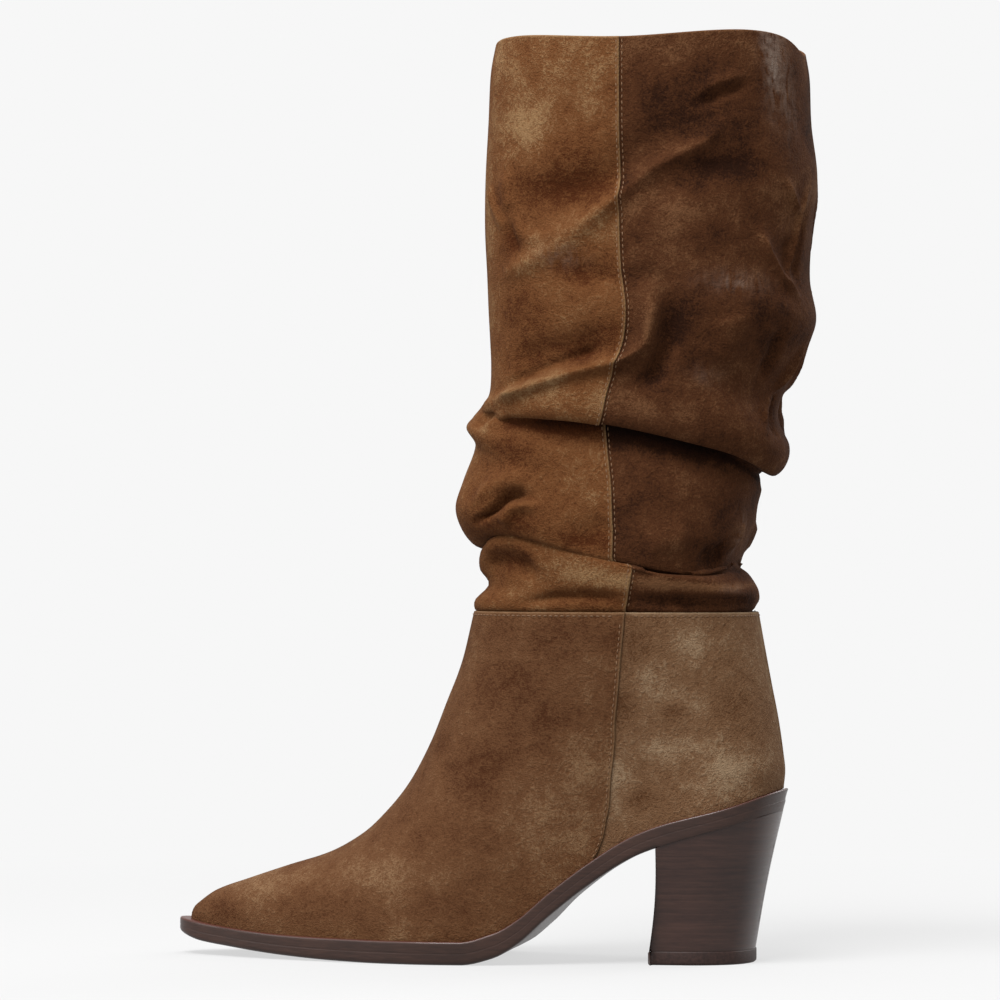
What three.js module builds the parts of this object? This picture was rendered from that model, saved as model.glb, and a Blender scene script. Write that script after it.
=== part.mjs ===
// Slouch boot with a pointed toe and a stacked block heel, left foot, empty and standing on its sole.
// Millimetres, +Z up, toe towards -X, outer side of the leg towards -Y.
// The origin is on the floor, under the middle of the boot's box.
import * as THREE from 'three';

// Foot and sole
const SOLE_LENGTH = 248;        // tip of the sole to the back of the heel seat
const BALL_WIDTH = 82;          // upper across the ball, where it meets the sole
const TOE_OFFSET = 3;           // the tip of the toe points this far inwards
const TOE_LEDGE = 4.4;          // sole in front of the upper
const SIDE_LEDGE = 1.8;         // sole beside the upper
const HEEL_LEDGE = 0.8;         // sole behind the upper
const SOLE_THICKNESS = 9;       // at the ball, measured upright
const EDGE_INSET = 2;           // the tread's edge is eased by this much
const EDGE_LIFT = 1.2;
const LEDGE_BEVEL = 0.6;        // small bevel on the sole's top edge
const TOE_SPRING = 8.9;         // tread above the floor at the tip
const HEEL_RISE = 60;           // tread above the floor at the back of the heel seat
const ARCH_LIFT = 6;            // the arch's inner edge is this much higher than its outer one
const INSOLE_THICKNESS = 2.2;

// Heel
const HEEL_DEPTH = 47;          // breast to back, under the seat
const HEEL_TIP_DEPTH = 37.2;    // breast to back, at the floor
const HEEL_PITCH = 13;          // the floor end of the back is this far in front of the seat
const HEEL_TIP_WIDTH = 51;
const HEEL_INSET = 0.5;         // heel inside the edge of the sole
const HEEL_HOLLOW = 0.9;        // the heel's sides draw in by this much halfway down
const TOP_PIECE_THICKNESS = 5.4;
const TOP_PIECE_PROUD = 0.4;    // top piece stands out from the heel
const TOP_PIECE_BEVEL = 0.8;

// Upper of the foot
const ANKLE_HEIGHT = 138.5;     // seam between foot and shaft, above the floor
const ANKLE_DEPTH = 114.4;      // front to back at that seam
const ANKLE_WIDTH = 76;
const ANKLE_SET = 10.2;         // back of that seam, in front of the back of the foot
const UPPER_WALL = 1.8;
const VAMP_STEP = 0.9;          // the vamp lies this much proud of the heel quarters

// Shaft
const SHAFT_HEIGHT = 228;       // ankle seam to collar
const SHAFT_DEPTH = 129;        // front to back at the calf
const SHAFT_WIDTH = 103;
const SHAFT_LEAN = 13.6;        // middle of the calf, behind the middle of the ankle
const SHAFT_WALL = 1.5;
const PANEL_STEP = 0.9;         // the front panel laps over the back panel
const LAP = 7;                  // shaft tucked inside the foot's top edge
const FOLD = 12;                // how far a slouch fold moves in or out
const INNER_DROP = 6;           // the folds lie this much lower on the inner side

const GAP = 0.3;                // clearance between pieces that meet
const SEAM_WIDTH = 0.35;        // width of the step at a lapped seam
const HAIR = 0.001;             // keeps a height over nothing from dividing by zero
const HALVINGS = 40;            // steps that find a place from its height

// Side view of the sole: a row for each station from toe to heel.
// at is a share of the sole's length, spring of the toe spring, rise of the heel rise,
// thick of the sole's thickness and arch of the arch's lift.
const SOLE_SIDE = rows('at spring rise thick arch', [
  [0.000, 1.00, 0.000, 0.64, 0.00],
  [0.045, 0.63, 0.000, 0.82, 0.00],
  [0.110, 0.42, 0.000, 0.84, 0.00],
  [0.200, 0.19, 0.000, 0.90, 0.00],
  [0.290, 0.05, 0.000, 0.98, 0.00],
  [0.370, 0.00, 0.000, 1.01, 0.00],
  [0.505, 0.00, 0.000, 1.01, 0.00],
  [0.555, 0.00, 0.044, 1.08, 0.40],
  [0.595, 0.00, 0.138, 1.07, 0.80],
  [0.640, 0.00, 0.304, 1.03, 1.00],
  [0.700, 0.00, 0.503, 0.97, 0.90],
  [0.770, 0.00, 0.696, 0.93, 0.40],
  [0.810, 0.00, 0.770, 0.92, 0.00],
  [0.920, 0.00, 0.905, 0.83, 0.00],
  [1.000, 0.00, 1.000, 0.99, 0.00],
]);

// Where the upper meets the sole, seen from above: shares of the ball's width on each side
const FEATHER = rows('at outer inner', [
  [0.000, 0.000, 0.000],
  [0.040, 0.140, 0.145],
  [0.140, 0.300, 0.312],
  [0.300, 0.440, 0.448],
  [0.450, 0.524, 0.462],
  [0.620, 0.456, 0.360],
  [0.760, 0.378, 0.322],
  [0.880, 0.366, 0.345],
  [0.965, 0.262, 0.252],
  [1.000, 0.000, 0.000],
]);

// Top line of the foot from the toe up to the ankle seam: along is a share of the way back
// from the tip of the upper, rise a share of the way up, and round bends each cross-section
// from a full arch, 2.4, to a narrow instep, 1.7.
const INSTEP = rows('along rise round', [
  [0.000, 0.000, 2.00],
  [0.003, 0.021, 2.00],
  [0.010, 0.036, 2.00],
  [0.028, 0.052, 2.05],
  [0.091, 0.093, 2.20],
  [0.202, 0.131, 2.35],
  [0.347, 0.177, 2.35],
  [0.495, 0.222, 2.25],
  [0.618, 0.288, 2.10],
  [0.706, 0.367, 2.00],
  [0.776, 0.451, 1.90],
  [0.850, 0.581, 1.80],
  [0.905, 0.710, 1.75],
  [0.958, 0.839, 1.70],
  [1.000, 1.000, 1.70],
]);

// Back line of the foot: rise is a share of the way from seat to ankle seam,
// set a share of the ankle's set
const BACK_LINE = rows('rise set', [
  [0.00, 0.00],
  [0.10, -0.06],
  [0.21, 0.02],
  [0.38, 0.19],
  [0.61, 0.50],
  [0.84, 0.80],
  [1.00, 1.00],
]);

// Rings of the upper: where each one crosses the top line and the back line, and the place of
// the side seam as a share of the ring's length
const UPPER_RINGS = rows('along rise seam', [
  [0.000, 0.00, 0.710],
  [0.003, 0.03, 0.717],
  [0.028, 0.07, 0.720],
  [0.091, 0.12, 0.715],
  [0.202, 0.18, 0.705],
  [0.347, 0.25, 0.685],
  [0.495, 0.32, 0.660],
  [0.618, 0.40, 0.640],
  [0.706, 0.48, 0.625],
  [0.776, 0.56, 0.610],
  [0.850, 0.66, 0.600],
  [0.905, 0.77, 0.595],
  [0.958, 0.88, 0.590],
  [1.000, 1.00, 0.590],
]);

// Rings of the shaft from the ankle seam to the collar.
// The five heights, at the front, front quarter, side seam, back quarter and back, are shares
// of the shaft's height. open goes from the ankle's oval, 0, to the calf's, 1. ahead, behind
// and beside push the ring out from that oval at its front, back and sides, and seam moves its
// side seams back: all four are shares of a fold.
const SHAFT_RINGS = rows('front frontQ side backQ back open ahead behind beside seam', [
  [0.005, 0.005, 0.005, 0.005, 0.005, 0.00, 0.02, -0.13, -0.12, 0.85],
  [0.020, 0.019, 0.018, 0.018, 0.019, 0.02, -0.02, -0.02, -0.08, 0.90],
  [0.046, 0.044, 0.036, 0.033, 0.037, 0.06, -0.46, -0.12, 0.03, 0.93],
  [0.070, 0.078, 0.058, 0.047, 0.054, 0.11, -0.13, -0.37, 0.10, 0.97],
  [0.094, 0.112, 0.077, 0.061, 0.070, 0.14, -0.14, -0.65, 0.08, 0.98],
  [0.102, 0.108, 0.074, 0.070, 0.082, 0.16, -0.45, -0.98, -0.30, 0.55],
  [0.113, 0.118, 0.084, 0.062, 0.088, 0.18, 0.12, -0.95, 0.02, 0.30],
  [0.142, 0.143, 0.110, 0.094, 0.115, 0.24, 0.57, -0.88, 0.08, 0.24],
  [0.182, 0.172, 0.147, 0.132, 0.152, 0.32, 0.80, -0.80, 0.05, 0.15],
  [0.230, 0.205, 0.187, 0.178, 0.186, 0.40, 0.57, -0.84, -0.05, 0.05],
  [0.292, 0.252, 0.224, 0.214, 0.208, 0.48, 0.20, -0.73, -0.17, -0.08],
  [0.320, 0.296, 0.264, 0.243, 0.217, 0.55, 0.55, -0.75, -0.30, -0.25],
  [0.352, 0.330, 0.311, 0.270, 0.226, 0.60, 0.07, -0.98, -0.48, -0.42],
  [0.364, 0.346, 0.334, 0.292, 0.238, 0.62, -0.24, -1.05, -0.56, -0.50],
  [0.366, 0.338, 0.319, 0.273, 0.230, 0.64, -0.27, -0.62, -0.12, -0.60],
  [0.375, 0.352, 0.338, 0.296, 0.250, 0.68, -0.23, -0.29, 0.10, -0.50],
  [0.392, 0.385, 0.376, 0.336, 0.284, 0.74, -0.20, -0.28, 0.08, -0.40],
  [0.426, 0.426, 0.423, 0.392, 0.345, 0.82, -0.18, -0.78, -0.02, -0.22],
  [0.470, 0.475, 0.470, 0.458, 0.425, 0.90, -0.10, -0.28, -0.05, -0.02],
  [0.520, 0.524, 0.524, 0.520, 0.498, 0.96, -0.02, 0.22, -0.02, 0.00],
  [0.585, 0.587, 0.587, 0.585, 0.575, 1.00, 0.05, -0.05, -0.08, -0.20],
  [0.665, 0.665, 0.665, 0.665, 0.660, 1.00, 0.12, 0.03, -0.05, -0.25],
  [0.752, 0.752, 0.752, 0.752, 0.750, 1.00, 0.10, 0.20, -0.03, -0.25],
  [0.848, 0.848, 0.848, 0.848, 0.848, 1.00, 0.00, 0.00, 0.00, -0.25],
  [0.935, 0.936, 0.932, 0.940, 0.936, 1.00, -0.08, -0.06, 0.02, -0.25],
  [0.987, 0.991, 0.983, 0.996, 0.986, 1.00, -0.26, -0.20, 0.00, -0.25],
]);

const OVAL = 2.2;               // roundness of the ankle's and the calf's plan
const COLUMNS = 26;             // steps from front to back on each side
const SEAM_COLUMN = 15;         // the step where the foot's side seam runs

// Names the columns of a table
function rows(names, values) {
  const keys = names.split(' ');
  return values.map((row) => Object.fromEntries(keys.map((key, k) => [key, row[k]])));
}

function mix(a, b, share) {
  return a + (b - a) * share;
}

function clamp01(value) {
  return Math.min(Math.max(value, 0), 1);
}

function ease(value) {
  const t = clamp01(value);
  return t * t * (3 - 2 * t);
}

// A smooth curve through the rows of a table, which never swings past them
function curve(table, from, to, measure = (value) => value) {
  const x = table.map((row) => measure(row[from]));
  const y = table.map((row) => row[to]);
  const last = x.length - 1;
  const secant = [];
  for (let k = 0; k < last; k += 1) {
    secant.push((y[k + 1] - y[k]) / (x[k + 1] - x[k]));
  }
  const slope = x.map((_, k) => {
    if (k === 0) return secant[0];
    if (k === last) return secant[last - 1];
    const [before, after] = [secant[k - 1], secant[k]];
    return before * after <= 0 ? 0 : (2 * before * after) / (before + after);
  });
  return (at) => {
    const place = Math.min(Math.max(at, x[0]), x[last]);
    let k = 0;
    while (k < last - 1 && place > x[k + 1]) k += 1;
    const step = x[k + 1] - x[k];
    const t = (place - x[k]) / step;
    const bend = t * t * (3 - 2 * t);
    const rise = t * (1 - t) * ((1 - t) * slope[k] - t * slope[k + 1]) * step;
    return mix(y[k], y[k + 1], bend) + rise;
  };
}

// Shares of a ring's length, spaced as the points of an ellipse are, and back again
function lengthShare(step) {
  return (1 - Math.cos(Math.PI * step)) / 2;
}

function stepShare(at) {
  return Math.acos(1 - 2 * clamp01(at)) / Math.PI;
}

const springAt = curve(SOLE_SIDE, 'at', 'spring');
const riseAt = curve(SOLE_SIDE, 'at', 'rise');
const thickAt = curve(SOLE_SIDE, 'at', 'thick');
const archAt = curve(SOLE_SIDE, 'at', 'arch');
const outerAt = curve(FEATHER, 'at', 'outer', stepShare);
const innerAt = curve(FEATHER, 'at', 'inner', stepShare);
const instepRise = curve(INSTEP, 'along', 'rise');
const instepRound = curve(INSTEP, 'along', 'round');
const backSet = curve(BACK_LINE, 'rise', 'set');

// Places along the boot, from the tip of the sole
const UPPER_FRONT = TOE_LEDGE;
const UPPER_BACK = SOLE_LENGTH - HEEL_LEDGE;
const UPPER_LENGTH = UPPER_BACK - UPPER_FRONT;
const ANKLE_BACK = UPPER_BACK - ANKLE_SET;
const ANKLE_FRONT = ANKLE_BACK - ANKLE_DEPTH;

// Underside and top of the sole at a place on it
function treadZ(x, y) {
  const at = clamp01(x / SOLE_LENGTH);
  const lift = ARCH_LIFT * archAt(at) * clamp01(y / BALL_WIDTH + 0.5);
  return TOE_SPRING * springAt(at) + HEEL_RISE * riseAt(at) + lift;
}

function seatZ(x, y) {
  return treadZ(x, y) + SOLE_THICKNESS * thickAt(clamp01(x / SOLE_LENGTH));
}

// Width of the foot at the sole, on one side, and how far its middle bends inwards
function featherHalf(at, side) {
  const share = side < 0 ? outerAt(stepShare(at)) : innerAt(stepShare(at));
  return share * BALL_WIDTH;
}

const TOE_BEND = 0.45;          // the toe turns inwards over this share of the foot

function middleY(at) {
  return TOE_OFFSET * (1 - ease(at / TOE_BEND));
}

// The point where the upper meets the sole, at a share of the foot's length, on one side
function featherPoint(at, side) {
  const x = UPPER_FRONT + UPPER_LENGTH * at;
  const y = middleY(at) + side * featherHalf(at, side);
  return new THREE.Vector3(x, y, seatZ(x, y));
}

function seatUnder(x, side) {
  return featherPoint(clamp01((x - UPPER_FRONT) / UPPER_LENGTH), side).z;
}

// Top line of the foot, as a height over a place along it, and the other way round
const TOE_Z = featherPoint(0, -1).z;
const INSTEP_RUN = ANKLE_FRONT - UPPER_FRONT;
const INSTEP_RISE = ANKLE_HEIGHT - TOE_Z;
const INSTEP_SLOPE = 4 * INSTEP_RISE / INSTEP_RUN;

function instepZ(x) {
  const above = Math.max(x - ANKLE_FRONT, 0) * INSTEP_SLOPE;
  return TOE_Z + INSTEP_RISE * instepRise(clamp01((x - UPPER_FRONT) / INSTEP_RUN)) + above;
}

function instepX(z) {
  let low = UPPER_FRONT;
  let high = ANKLE_FRONT;
  for (let k = 0; k < HALVINGS; k += 1) {
    const middle = (low + high) / 2;
    if (instepZ(middle) < z) low = middle;
    else high = middle;
  }
  return (low + high) / 2;
}

// Back line of the foot at a height
const SEAT_BACK_Z = featherPoint(1, -1).z;

function backX(z) {
  const rise = clamp01((z - SEAT_BACK_Z) / (ANKLE_HEIGHT - SEAT_BACK_Z));
  return UPPER_BACK - ANKLE_SET * backSet(rise);
}

// Half the width of an oval of length 1, at a share of that length
function ovalHalf(at) {
  return (1 - Math.abs(2 * clamp01(at) - 1) ** OVAL) ** (1 / OVAL);
}

// Where the upper's skin is, at a place and a height, on one side. Low down it follows the
// sole's outline and arches over to the top line. Higher up it turns into the ankle's oval.
function upperY(x, z, side) {
  const seat = seatUnder(x, side);
  const back = backX(z);
  const shift = (UPPER_BACK - back) * ease((x - ANKLE_FRONT) / (back - ANKLE_FRONT));
  const at = clamp01((x + shift - UPPER_FRONT) / UPPER_LENGTH);
  const height = clamp01((z - seat) / Math.max(instepZ(x) - seat, HAIR));
  const round = instepRound(clamp01((x - UPPER_FRONT) / INSTEP_RUN));
  const arch = featherHalf(at, side) * (1 - height ** round) ** (1 / round);
  const front = instepX(z);
  const oval = (ANKLE_WIDTH / 2) * ovalHalf((x - front) / (back - front));
  const ankle = ease((z - seat) / (ANKLE_HEIGHT - seat));
  return middleY(at) * (1 - ankle) + side * mix(arch, oval, ankle);
}

// One point of an upper ring
function upperPoint(ring, at, side) {
  const frontX = mix(UPPER_FRONT, ANKLE_FRONT, ring.along);
  const frontSeat = seatUnder(frontX, side);
  const backZ = mix(SEAT_BACK_Z, ANKLE_HEIGHT, ring.rise);
  const frontShare = (instepZ(frontX) - frontSeat) / (ANKLE_HEIGHT - frontSeat);
  const x = mix(frontX, backX(backZ), at);
  const z = mix(seatUnder(x, side), ANKLE_HEIGHT, mix(frontShare, ring.rise, ease(at)));
  return new THREE.Vector3(x, upperY(x, z, side), z);
}

// The columns of a ring run from the front, down the outer side, to the back and up the
// inner side. A lapped seam takes two columns close together on each side.
function ringColumns(seam) {
  const half = [];
  for (let k = 1; k < COLUMNS; k += 1) {
    if (k === seam) half.push({ step: k, edge: -1 }, { step: k, edge: 1 });
    else half.push({ step: k, edge: 0 });
  }
  const outer = half.map((column) => ({ ...column, side: -1 }));
  const inner = half.map((column) => ({ ...column, side: 1 })).reverse();
  const front = { step: 0, edge: 0, side: -1 };
  const back = { step: COLUMNS, edge: 0, side: 1 };
  return [front, ...outer, back, ...inner];
}

// Is a column in front of the seam, on the panel that laps over
function isLapping(column, seam) {
  return column.step < seam || (column.step === seam && column.edge < 0);
}

// Outward normals of a grid of rings
function gridNormals(grid) {
  return grid.map((ring, i) => ring.map((_, j) => {
    const above = grid[Math.min(i + 1, grid.length - 1)][j];
    const below = grid[Math.max(i - 1, 0)][j];
    const next = ring[(j + 1) % ring.length];
    const previous = ring[(j + ring.length - 1) % ring.length];
    const round = next.clone().sub(previous);
    return round.cross(above.clone().sub(below)).normalize();
  }));
}

// Moves a ring sideways, in plan, by its own distance at each point
function offsetRing(ring, distance) {
  return ring.map((point, j) => {
    const next = ring[(j + 1) % ring.length];
    const previous = ring[(j + ring.length - 1) % ring.length];
    const normal = new THREE.Vector3(next.y - previous.y, previous.x - next.x, 0).normalize();
    return point.clone().addScaledVector(normal, distance(point, j));
  });
}

// Closed surface of a stack of rings, each running counter-clockwise from above
class Skin {
  constructor() {
    this.positions = [];
    this.triangles = [];
  }

  addRing(ring) {
    const first = this.positions.length / 3;
    ring.forEach((point) => this.positions.push(point.x, point.y, point.z));
    return ring.map((_, j) => first + j);
  }

  addQuad(a, b, c, d) {
    this.triangles.push(a, b, c, a, c, d);
  }

  addWall(lower, upper) {
    lower.forEach((index, j) => {
      const k = (j + 1) % lower.length;
      this.addQuad(index, lower[k], upper[k], upper[j]);
    });
  }

  // Closes a ring across, from each outer point to its partner on the inner side
  addLid(ring, partner, facesUp) {
    const half = Math.floor(ring.length / 2);
    for (let j = 0; j < half; j += 1) {
      const [a, b, c, d] = [ring[j], ring[j + 1], ring[partner(j + 1)], ring[partner(j)]];
      const faces = facesUp ? [[a, b, c], [a, c, d]] : [[a, c, b], [a, d, c]];
      const whole = faces.filter((face) => new Set(face).size === 3);
      whole.forEach((face) => this.triangles.push(...face));
    }
  }

  geometry() {
    const geometry = new THREE.BufferGeometry();
    geometry.setAttribute('position', new THREE.Float32BufferAttribute(this.positions, 3));
    geometry.setIndex(this.triangles);
    geometry.computeVertexNormals();
    return geometry;
  }
}

// A hollow piece, open at both ends, from matching outer and inner rings
function hollowPiece(outerRings, innerRings) {
  const skin = new Skin();
  const outer = outerRings.map((ring) => skin.addRing(ring));
  const inner = innerRings.map((ring) => skin.addRing(ring));
  const top = outer.length - 1;
  for (let i = 0; i < top; i += 1) {
    skin.addWall(outer[i], outer[i + 1]);
    skin.addWall(inner[i + 1], inner[i]);
  }
  skin.addWall(inner[0], outer[0]);
  skin.addWall(outer[top], inner[top]);
  return skin.geometry();
}

// A filled piece from a stack of rings, the lowest first
function filledPiece(rings, partner) {
  const skin = new Skin();
  const stack = rings.map((ring) => skin.addRing(ring));
  stack.slice(1).forEach((ring, i) => skin.addWall(stack[i], ring));
  skin.addLid(stack[0], partner, false);
  skin.addLid(stack[stack.length - 1], partner, true);
  return skin.geometry();
}

// Share of a foot ring's length at a column. It is bent so that the seam's column keeps its
// place on the ring, which lies further back on the lower rings.
function footShare(column, ring) {
  const bend = Math.log(ring.seam) / Math.log(lengthShare(SEAM_COLUMN / COLUMNS));
  return lengthShare(column.step / COLUMNS) ** bend + (column.edge * SEAM_WIDTH / 2) / UPPER_LENGTH;
}

// The line where the upper meets the sole, and rings of the sole made from it
const SOLE_COLUMNS = ringColumns(-1);

function featherRing() {
  return SOLE_COLUMNS.map((column) => featherPoint(footShare(column, UPPER_RINGS[0]), column.side));
}

const TOE_CAP = 0.08;           // the ledge widens over this share of the foot at the toe
const HEEL_CAP = 0.93;          // and narrows behind this one

function soleLedge(x) {
  const at = (x - UPPER_FRONT) / UPPER_LENGTH;
  const toe = mix(TOE_LEDGE, SIDE_LEDGE, ease(at / TOE_CAP));
  return mix(toe, HEEL_LEDGE, ease((at - HEEL_CAP) / (1 - HEEL_CAP)));
}

function acrossSole(j) {
  return (SOLE_COLUMNS.length - j) % SOLE_COLUMNS.length;
}

const HEEL_FRONT = SOLE_LENGTH - HEEL_DEPTH;

// Over the heel the tread's eased edge closes up to a fine line
const FINE_EDGE = 0.2;

function easedEdge(x) {
  return mix(1, FINE_EDGE, ease((x - HEEL_FRONT + EDGE_INSET) / EDGE_INSET));
}

function soleRing(inset, height) {
  const ring = offsetRing(featherRing(), (point) => soleLedge(point.x) - inset(point.x));
  ring.forEach((point) => {
    point.z = height(point.x, point.y);
  });
  return ring;
}

function makeOutsole() {
  const top = (x, y) => seatZ(x, y) - GAP;
  return filledPiece([
    soleRing((x) => EDGE_INSET * easedEdge(x), treadZ),
    soleRing(() => 0, (x, y) => treadZ(x, y) + EDGE_LIFT * easedEdge(x)),
    soleRing(() => 0, (x, y) => top(x, y) - LEDGE_BEVEL),
    soleRing(() => LEDGE_BEVEL, top),
  ], acrossSole);
}

function makeInsole() {
  const inset = UPPER_WALL + VAMP_STEP + 2 * GAP;
  const layer = (height) => {
    const ring = offsetRing(featherRing(), () => -inset);
    ring.forEach((point) => {
      point.z = seatZ(point.x, point.y) + height;
    });
    return ring;
  };
  return filledPiece([layer(GAP), layer(GAP + INSOLE_THICKNESS)], acrossSole);
}

// Outline of the heel at a share of the way down: from the breast's outer corner round the
// back to its inner corner. It follows the sole's edge above and its own tip at the floor.
const HEEL_COLUMNS = 9;
const HEEL_ROWS = 4;
const SEAT_ROUND = 6;           // how late the heel's sides turn into its back
const HEEL_FRONT_AT = (HEEL_FRONT - UPPER_FRONT) / UPPER_LENGTH;
const HEEL_TIP_BACK = SOLE_LENGTH - HEEL_PITCH;
const HEEL_TIP_FRONT = HEEL_TIP_BACK - HEEL_TIP_DEPTH;

function heelRing(down, height, proud = 0) {
  const first = stepShare(HEEL_FRONT_AT);
  const ring = [];
  for (let k = -HEEL_COLUMNS; k <= HEEL_COLUMNS; k += 1) {
    const side = k < 0 ? -1 : 1;
    const at = lengthShare(mix(1, first, Math.abs(k) / HEEL_COLUMNS));
    const back = (at - HEEL_FRONT_AT) / (1 - HEEL_FRONT_AT);
    const reach = HEEL_DEPTH - HEEL_INSET;
    const half = featherHalf(at, side) + (SIDE_LEDGE - HEEL_INSET) * Math.sqrt(1 - back ** SEAT_ROUND);
    const narrow = (HEEL_TIP_WIDTH / 2) / (featherHalf(HEEL_FRONT_AT, side) + SIDE_LEDGE);
    const topX = HEEL_FRONT + reach * back;
    const tipX = HEEL_TIP_FRONT + HEEL_TIP_DEPTH * back;
    const x = mix(topX, tipX, down) + proud * (2 * back - 1);
    const y = side * (half * mix(1, narrow, down) + proud);
    ring.push(new THREE.Vector3(x, y, height(topX, y)));
  }
  return ring;
}

function acrossHeel(j) {
  return 2 * HEEL_COLUMNS - j;
}

function makeHeel() {
  const bottom = TOP_PIECE_THICKNESS + GAP;
  const stack = [];
  for (let k = HEEL_ROWS; k >= 0; k -= 1) {
    const down = k / HEEL_ROWS;
    const hollow = HEEL_HOLLOW * Math.sin(Math.PI * down);
    stack.push(heelRing(down, (x, y) => mix(treadZ(x, y) - GAP, bottom, down), -hollow));
  }
  return filledPiece(stack, acrossHeel);
}

function makeTopPiece() {
  return filledPiece([
    heelRing(1, () => 0, TOP_PIECE_PROUD - TOP_PIECE_BEVEL),
    heelRing(1, () => TOP_PIECE_BEVEL, TOP_PIECE_PROUD),
    heelRing(1, () => TOP_PIECE_THICKNESS, TOP_PIECE_PROUD),
  ], acrossHeel);
}

// The foot's wall: rings of the outer skin, and the same rings moved in by the wall
function upperGrid() {
  const columns = ringColumns(SEAM_COLUMN);
  return UPPER_RINGS.map((ring) => columns.map((column) => (
    upperPoint(ring, footShare(column, ring), column.side)
  )));
}

function makeUpper() {
  const columns = ringColumns(SEAM_COLUMN);
  const grid = upperGrid();
  const normals = gridNormals(grid);
  [normals[0], normals[normals.length - 1]].forEach((ring) => {
    ring.forEach((normal) => normal.setZ(0).normalize());
  });
  const layer = (distance) => grid.map((ring, i) => ring.map((point, j) => (
    point.clone().addScaledVector(normals[i][j], distance(columns[j]))
  )));
  const step = (column) => (isLapping(column, SEAM_COLUMN) ? 0 : -VAMP_STEP);
  return hollowPiece(layer(step), layer(() => -UPPER_WALL - VAMP_STEP));
}

const FOLDS_FROM = 0.15;        // the folds are slackest between these shares of the shaft
const FOLDS_TO = 0.4;

// Height of a shaft ring at a share of the way from front to back
function ringHeight(ring, share, side) {
  const heights = [ring.front, ring.frontQ, ring.side, ring.backQ, ring.back];
  const last = heights.length - 1;
  const k = Math.min(Math.floor(share * last), last - 1);
  const t = share * last - k;
  const [a, b, c, d] = [
    heights[k === 0 ? 1 : k - 1],
    heights[k],
    heights[k + 1],
    heights[k + 2 > last ? last - 1 : k + 2],
  ];
  const smooth = b + 0.5 * t * (c - a + t * (2 * a - 5 * b + 4 * c - d + t * (3 * (b - c) + d - a)));
  const drop = side > 0 ? INNER_DROP * Math.sin(Math.PI * share) ** 2 : 0;
  const slack = ease(smooth / FOLDS_FROM) * (1 - ease((smooth - FOLDS_TO) / FOLDS_TO));
  return ANKLE_HEIGHT + SHAFT_HEIGHT * smooth - drop * slack;
}

// One point of a shaft ring
function shaftPoint(ring, share, side) {
  const ankleMiddle = ANKLE_FRONT + ANKLE_DEPTH / 2;
  const middle = ankleMiddle + SHAFT_LEAN * ring.open;
  const halfDepth = mix(ANKLE_DEPTH, SHAFT_DEPTH, ring.open) / 2;
  const halfWidth = mix(ANKLE_WIDTH, SHAFT_WIDTH, ring.open) / 2 + FOLD * ring.beside;
  const seamX = middle + FOLD * ring.seam;
  const front = middle - halfDepth - FOLD * ring.ahead;
  const back = middle + halfDepth + FOLD * ring.behind;
  const angle = Math.PI * share;
  const [along, across] = [Math.cos(angle), Math.sin(angle)];
  const reach = (Math.abs(along) ** OVAL + Math.abs(across) ** OVAL) ** (-1 / OVAL);
  const run = along > 0 ? seamX - front : back - seamX;
  const x = seamX - run * along * reach;
  return new THREE.Vector3(x, side * halfWidth * across * reach, ringHeight(ring, share, side));
}

// A level ring of the shaft where it is lapped inside the foot's top edge
function lapRing(z, columns) {
  const front = instepX(z);
  const back = backX(z);
  const ring = columns.map(({ step, edge, side }) => {
    const at = lengthShare(step / COLUMNS) + (edge * SEAM_WIDTH / 2) / UPPER_LENGTH;
    const x = mix(front, back, at);
    return new THREE.Vector3(x, upperY(x, z, side), z);
  });
  return offsetRing(ring, () => -(UPPER_WALL + VAMP_STEP + 2 * GAP));
}

function makeShaft() {
  const seam = COLUMNS / 2;
  const columns = ringColumns(seam);
  const lap = [ANKLE_HEIGHT - LAP, ANKLE_HEIGHT - LAP / 2, ANKLE_HEIGHT].map((z) => lapRing(z, columns));
  const leg = SHAFT_RINGS.map((ring) => columns.map(({ step, edge, side }) => {
    const share = step / COLUMNS + (edge * SEAM_WIDTH / 2) / SHAFT_DEPTH;
    return shaftPoint(ring, share, side);
  }));
  const grid = [...lap, ...leg];
  const normals = gridNormals(grid);
  [normals[0], normals[normals.length - 1]].forEach((ring) => {
    ring.forEach((normal) => normal.setZ(0).normalize());
  });
  const layer = (distance) => grid.map((ring, i) => ring.map((point, j) => (
    point.clone().addScaledVector(normals[i][j], distance(i, columns[j]))
  )));
  const step = (i, column) => (isLapping(column, seam) && i >= lap.length ? 0 : -PANEL_STEP);
  return hollowPiece(layer(step), layer(() => -SHAFT_WALL - PANEL_STEP));
}

// Materials
const suede = new THREE.MeshStandardMaterial({ color: 0x6b4a30, roughness: 0.95, metalness: 0 });
const shaftSuede = new THREE.MeshStandardMaterial({ color: 0x5a3822, roughness: 0.95, metalness: 0 });
const stackedLeather = new THREE.MeshStandardMaterial({ color: 0x46352f, roughness: 0.45, metalness: 0 });
const soleEdge = new THREE.MeshStandardMaterial({ color: 0x4c3d37, roughness: 0.5, metalness: 0 });
const rubber = new THREE.MeshStandardMaterial({ color: 0x33251f, roughness: 0.7, metalness: 0 });
const lining = new THREE.MeshStandardMaterial({ color: 0x9a7a58, roughness: 0.8, metalness: 0 });

const PIECES = [
  ['outsole', makeOutsole(), soleEdge],
  ['insole', makeInsole(), lining],
  ['heel', makeHeel(), stackedLeather],
  ['top_piece', makeTopPiece(), rubber],
  ['upper', makeUpper(), suede],
  ['shaft', makeShaft(), shaftSuede],
];

const group = new THREE.Group();
PIECES.forEach(([name, geometry, material]) => {
  const mesh = new THREE.Mesh(geometry, material);
  mesh.name = name;
  group.add(mesh);
});

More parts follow.
